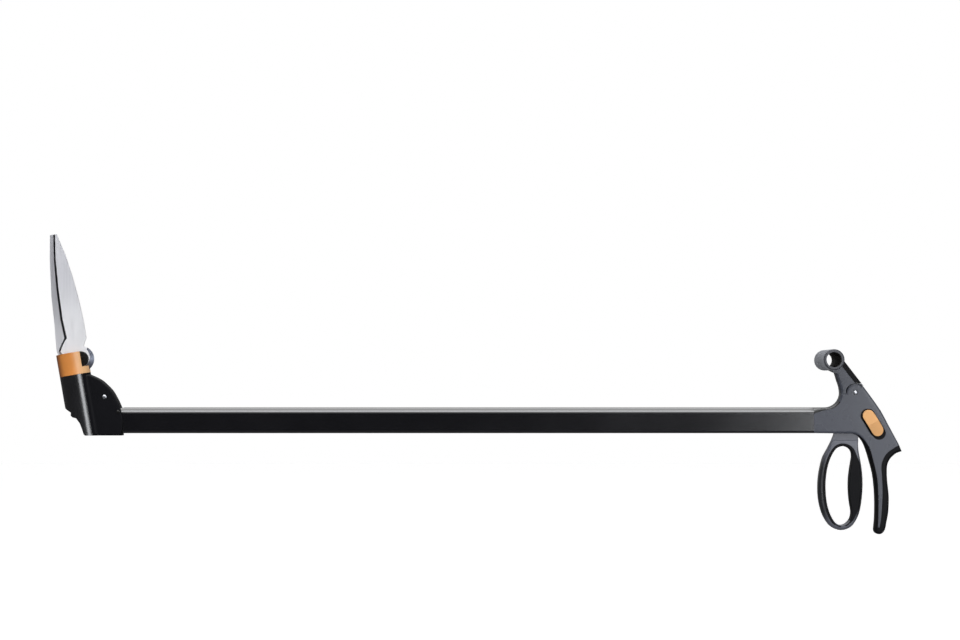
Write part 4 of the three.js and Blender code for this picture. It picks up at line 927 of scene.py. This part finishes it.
# Handle shells
# Two halves of glass-filled plastic, screwed together round the shaft's end.
# They form the body, the sloping back and the pistol grip in one shape.
handle_grey = (0.052, 0.056, 0.071, 1)
handle_plastic = skinned(
    "handle plastic", handle_grey, (0.10, 0.105, 0.12, 1),
    roughness=0.27, grain=1300, depth=0.000012, wear=0.12, cloud=20, spread=0.03, gloss=0.35)
shadow_black = skinned(
    "pocket painted shadow", (0.004, 0.004, 0.0045, 1), (0.01, 0.01, 0.01, 1),
    roughness=0.6, grain=900, depth=0.00002, wear=0.1, cloud=30, gloss=0.15)
low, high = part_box("lock_button")
lock_middle = (low + high) / 2
lock_lean = math.radians(59)
lock_way = Vector((math.cos(lock_lean), 0, -math.sin(lock_lean)))
pocket_lead = 0.002
pocket_middle = lock_middle + lock_way * pocket_lead
pocket_half_width = 0.0095
pocket_half_length = 0.0216
pocket_floor = (-0.0109, -0.0085)
pocket_shift = 0.0016
pocket_cut_width = 0.0084
pocket_cut_length = 0.0190
pocket_cut_depth = 0.0016
pocket_points = 16
body_round = 0.003
rim_gap = 0.0003
rim_left = rim_gap / 10
taper_end = 0.4475
taper_upward = (0.1, 0.999)
taper_outward = 0.1


def pocket_cutter(level):
    """A long round-ended plug that widens the lock's pocket to the left."""
    middle = lock_middle - Vector((pocket_shift, 0, 0))
    straight = pocket_cut_length - pocket_cut_width
    across = Vector((lock_way.z, 0, -lock_way.x))
    rings = [[], []]
    for ring, depth in zip(rings, (-pocket_cut_depth, pocket_cut_depth)):
        for end in (1, -1):
            for step in range(pocket_points + 1):
                turn = math.pi * step / pocket_points - quarter
                place = middle + lock_way * end * (straight + pocket_cut_width * math.cos(turn))
                place += across * end * pocket_cut_width * math.sin(turn)
                ring.append((place.x, level + depth, place.z))
    return lofted(rings)


def in_pocket(face):
    """Whether a face is on the floor of the lock's pocket."""
    place = face.center - pocket_middle
    along = place.x * lock_way.x + place.z * lock_way.z
    across = place.x * lock_way.z - place.z * lock_way.x
    inside = abs(across) < pocket_half_width + pocket_shift and abs(along) < pocket_half_length
    return inside and pocket_floor[0] < face.center.y < pocket_floor[1]


def on_taper(face):
    """Whether a face leads the shaft's upper rounding into the handle's."""
    by_rim = face.center.x < taper_end and face.center.z > shaft_height - shaft_round
    upward = taper_upward[0] < face.normal.z < taper_upward[1]
    return by_rim and upward and abs(face.normal.y) > taper_outward


for side in ("left", "right"):
    form = merged(f"handle_shell_{side}")
    for vert in form.verts:
        aside = half_width - abs(vert.co.y)
        inset = min(vert.co.z, shaft_height - vert.co.z)
        over = max(0.0, body_round - aside)
        set_back = body_round - math.sqrt(max(0.0, body_round ** 2 - over ** 2))
        off_front = abs(vert.co.x - rim_at - rim_gap - set_back)
        if aside >= body_round + rim_reach or off_front >= rim_reach:
            continue
        vert.co.x = rim_at + rim_left
        if -rim_reach < inset < body_round + rim_reach and vert.co.z > shaft_height / 2:
            vert.co.y = math.copysign(half_width - aside * shaft_round / body_round, vert.co.y)
            vert.co.z = shaft_height - inset * shaft_round / body_round
    if side == "left":
        form = carved(form, pocket_cutter(-half_width))
    shell = settled(form, f"handle_half_{side}", handle_plastic)
    # The pocket's floor is painted near-black, a painted shadow in the recess round the lock
    # button.
    refaced(shell, shadow_black, in_pocket)
    refaced(shell, painted_tube, on_taper)
    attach(shell, "frame")
    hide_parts(f"handle_shell_{side}")

# Grip pad
# Soft black rubber moulded on to the grip, round both its edges and over its
# heel, where the hand bears.
rubber_black = (0.0035, 0.0035, 0.0045, 1)
soft_rubber = skinned(
    "soft rubber", rubber_black, (0.02, 0.02, 0.022, 1),
    roughness=0.5, grain=1500, depth=0.00004, wear=0.2, cloud=30, gloss=0.12)
pad = settled(merged("grip_pad"), "grip_cover", soft_rubber)
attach(pad, "frame")
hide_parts("grip_pad")

# Trigger
# A moulded lever with a loop for four fingers, hung on a steel pin through the
# body. Soft rubber lines the loop and covers the leg that the fingers pull.
trigger_grey = (0.080, 0.084, 0.104, 1)
loop_painted_shade = (0.010, 0.0105, 0.013, 1)
loop_shade_top = (-0.018, -0.045)
loop_shade_foot = (-0.116, -0.096)
drop_from = -0.055
drop_share = 0.034
trigger_plastic = skinned(
    "trigger plastic", trigger_grey, (0.07, 0.072, 0.08, 1),
    roughness=0.3, grain=1300, depth=0.000012, wear=0.3, cloud=24, coat=0.15)
# Below the strap the loop's plastic is painted darker, a painted shade of its rounded legs, fading
# out again just above its foot.
tree = trigger_plastic.node_tree
height = place_in(tree)["Z"]
below = ramped(tree, height, *loop_shade_top)
above_foot = ramped(tree, height, *loop_shade_foot)
tinted(trigger_plastic, worked(tree, "MULTIPLY", below, above_foot), loop_painted_shade)


def let_down(form):
    """The loop's lower part, drawn down by a share of its depth."""
    for vert in form.verts:
        vert.co.z += min(0.0, vert.co.z - drop_from) * drop_share
    return form


lever_form = let_down(merged("trigger_lever"))
lever = settled(lever_form.copy(), "trigger", trigger_plastic)
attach(lever, "trigger")
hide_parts("trigger_lever")
lining_width = 0.0034
lining_lap = 0.0003
lining_proud = 0.00035
lining_corner = 0.0008
corner_ease = 0.3
crown_shares = (0.35, 0.6, 0.8, 0.92)
lining_step = 0.0012
lining_end = -0.109
lining_fold = math.radians(50)
lever_half = 0.009
lever_round = 0.0035
lever_flat = 0.0065
leg_margin = 0.0012
leg_top = (-0.020, -0.036)
leg_foot = (-0.110, -0.093)
leg_facing = (0.1, 0.5)
pad_reach = 0.0006
ray_start = 1e-5
end_slack = 1e-6
parallel = 1e-12


def eased(value, start, end):
    """How far a value is from start to end, eased, 0 to 1."""
    share = min(1, max(0, (value - start) / (end - start)))
    return share * share * (3 - 2 * share)


def ray_to(line, start, way):
    """How far a ray runs from a place to a closed line."""
    best = math.inf
    for a, b in sides_of(line):
        edge = Vector(b) - Vector(a)
        across = way.x * edge.y - way.y * edge.x
        if abs(across) < parallel:
            continue
        gap = Vector(a) - start
        run = (gap.x * edge.y - gap.y * edge.x) / across
        share = (gap.x * way.y - gap.y * way.x) / across
        if ray_start < run < best and -end_slack <= share <= 1 + end_slack:
            best = run
    return best


def off_line(place, line):
    """How far a place is from a closed line."""
    best = math.inf
    for a, b in sides_of(line):
        start, way = Vector(a), Vector(b) - Vector(a)
        share = (Vector(place) - start).dot(way) / max(way.length_squared, 1e-14)
        nearest = start + way * min(1, max(0, share))
        best = min(best, (nearest - Vector(place)).length)
    return best


def open_run(line, other):
    """The run of a closed line that keeps clear of another line."""
    clear = [off_line(place, other) > pad_reach for place in line]
    count = len(line)
    first = next(index for index in range(count) if clear[index] and not clear[index - 1])
    run = []
    for index in range(first, first + count):
        if not clear[index % count]:
            break
        run.append(Vector(line[index % count]))
    return run


def length_of(line):
    """The length of a closed line."""
    return sum((Vector(b) - Vector(a)).length for a, b in sides_of(line))


def evened(line, step):
    """Points at equal steps along a closed line."""
    count = round(length_of(line) / step)
    gap = length_of(line) / count
    points, run, due = [], 0.0, 0.0
    for a, b in sides_of(line):
        span = (b - a).length
        while due < run + span and len(points) < count:
            points.append(a.lerp(b, (due - run) / span))
            due += gap
        run += span
    return points


def neighbours(line):
    """Each point of a closed line, between the one before it and the one after."""
    return list(zip(line[-1:] + line, line, line[1:] + line[:1]))


def lever_side(from_rim):
    """Half the lever's thickness at a distance from its outer edge."""
    short = lever_round - min(lever_round, max(0.0, from_rim))
    return lever_half - lever_round + math.sqrt(lever_round ** 2 - short ** 2)


pad_line = all_outlines(let_down(merged("trigger_pad")), 0)[0]
rim_line, hole_line = sorted(all_outlines(lever_form, lever_flat), key=length_of)[:-3:-1]
hole_run = open_run(hole_line, pad_line)
pad_run = open_run(pad_line, hole_line)
if (pad_run[0] - hole_run[-1]).length > (pad_run[-1] - hole_run[-1]).length:
    pad_run.reverse()
opening = evened(hole_run + pad_run, lining_step)
for smoothing in range(2):
    opening = [(before + place * 2 + after) / 4 for before, place, after in neighbours(opening)]
if winding(opening) < 0:
    opening.reverse()
lining_rings = []
for before, place, after in neighbours(opening):
    along = (after - before).normalized()
    outward = Vector((along.y, -along.x))
    to_rim = ray_to(rim_line, place, outward)
    on_leg = eased(-place.y, -leg_top[0], -leg_top[1])
    on_leg *= eased(place.y, *leg_foot) * eased(outward.x, *leg_facing)
    width = lining_width + (to_rim - leg_margin - lining_width) * on_leg
    width = min(width, to_rim - leg_margin)
    inner = lever_side(to_rim) + lining_proud
    half = [(-lining_lap, inner - lining_corner),
            (-lining_lap + lining_corner * corner_ease, inner - lining_corner * corner_ease),
            (-lining_lap + lining_corner, inner)]
    half += [(width * share, lever_side(to_rim - width * share) + lining_proud)
             for share in crown_shares]
    half.append((width, lever_side(to_rim - width) - lining_lap))
    section = half[::-1] + [(reach, -level) for reach, level in half]
    lining_rings.append([(place.x + outward.x * reach, level, place.y + outward.y * reach)
                         for reach, level in section])
finger_pad = settled(lofted(lining_rings, closed=True), "finger_pad", soft_rubber, lining_fold)
refaced(finger_pad, trigger_plastic, lambda face: face.center.z < lining_end)
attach(finger_pad, "trigger")
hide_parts("trigger_pad")
pivot = riveted("trigger_rivet", "trigger_pivot_pin", zinc_steel)
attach(pivot, "frame")
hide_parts("trigger_pivot_pin")

# Support arm
# A moulded arm, forked over the body's boss, that carries the crossbar. A soft
# black strip fills the hollow along its rear edge.
arm_slope = 0.0034
arm_left_end = 0.460
arm_outer = 0.0100
arm_foot = (0.0503, 0.0516)
foot_drop = 0.0010
slope_gap = 0.0015
side_facing = 0.99
left_facing = -0.5
slope_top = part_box("crossbar_core")[0][2] - slope_gap
slope_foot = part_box("trigger_pivot_pin")[0][2]
arm_form = merged("support_arm")
bmesh.ops.dissolve_limit(
    arm_form, angle_limit=flat_fold, verts=arm_form.verts, edges=arm_form.edges)
for vert in arm_form.verts:
    if arm_foot[0] < vert.co.z < arm_foot[1] and vert.co.x < arm_left_end:
        vert.co.z -= foot_drop
sloped = []
for edge in arm_form.edges:
    middle = (edge.verts[0].co + edge.verts[1].co) / 2
    flat = any(abs(face.normal.y) > side_facing for face in edge.link_faces)
    leftward = any(face.normal.x < left_facing for face in edge.link_faces)
    on_left = middle.x <= arm_left_end and slope_foot < middle.z < slope_top
    if len(edge.link_faces) == 2 and flat and leftward and on_left and abs(middle.y) > arm_outer:
        sloped.append(edge)
bmesh.ops.bevel(arm_form, geom=sloped, offset=arm_slope, offset_type="OFFSET", segments=2,
                profile=0.5, affect="EDGES", clamp_overlap=True)
arm = settled(arm_form, "arm", handle_plastic)
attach(arm, "frame")
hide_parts("support_arm")
strip = settled(merged("arm_insert"), "arm_strip", soft_rubber)
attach(strip, "frame")
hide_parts("arm_insert")

# Crossbar
# A thick tube across the tool for the second hand: a plastic core through the
# arm's hub, with a textured grey sleeve on each side.
sleeve_grey = (0.275, 0.285, 0.31, 1)
crossbar_skin = skinned(
    "crossbar skin", sleeve_grey, (0.16, 0.165, 0.18, 1),
    roughness=0.55, grain=900, depth=0.00025, wear=0.3, cloud=60, spread=0.08)
# The core's black plastic is lifted to a dark grey, a painted light in its shaded bore.
bore_painted_light = skinned(
    "crossbar bore painted light", (0.055, 0.053, 0.052, 1), (0.04, 0.04, 0.04, 1),
    roughness=0.6, grain=900, depth=0.00003, wear=0.2, cloud=30, gloss=0.25)
rim_skin = skinned(
    "crossbar rim", (0.060, 0.062, 0.072, 1), (0.09, 0.09, 0.10, 1),
    roughness=0.5, grain=900, depth=0.0001, wear=0.2, cloud=60)
hub_reach = 0.0150
hub_facing = 0.5
end_ring = 0.0022
end_facing = 0.3
bar_x, bar_z, bar_front, bar_back = ends("crossbar_core")
bar_half = (bar_back - bar_front) / 2


def on_hub(face):
    """Whether a face goes round the arm's hub."""
    off_axis = math.hypot(face.center.x - bar_x, face.center.z - bar_z)
    return off_axis < hub_reach and abs(face.normal.y) < hub_facing


def at_bar_end(face):
    """Whether a face is at one of the crossbar's two ends."""
    return abs(face.center.y) > bar_half - end_ring


refaced(arm, crossbar_skin, on_hub)
core = settled(merged("crossbar_core"), "crossbar_tube", bore_painted_light)
refaced(core, rim_skin, lambda face: at_bar_end(face) and abs(face.normal.y) > end_facing)
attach(core, "frame")
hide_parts("crossbar_core")
for side in ("left", "right"):
    sleeve = settled(merged(f"crossbar_grip_{side}"), f"crossbar_sleeve_{side}", crossbar_skin)
    refaced(sleeve, rim_skin, at_bar_end)
    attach(sleeve, "frame")
    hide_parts(f"crossbar_grip_{side}")

# Lock button
# An orange plastic slide with a roof of two slopes, in a pocket in the body's
# side. A screw ties it to the bolt inside that stops the trigger.
button_orange = (0.67, 0.345, 0.123, 1)
button_plastic = skinned(
    "button plastic", button_orange, (0.72, 0.40, 0.18, 1), roughness=0.38, grain=1300,
    depth=0.00001, wear=0.3, cloud=40, coat=0.3, coat_roughness=0.25)
roof_fold = math.radians(7)
button = settled(merged("lock_button"), "lock_slide_button", button_plastic, roof_fold)
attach(button, "lock")
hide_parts("lock_button")
refinished(pale_nylon, "lock_bolt")
refinished(zinc_steel, "lock_screw")
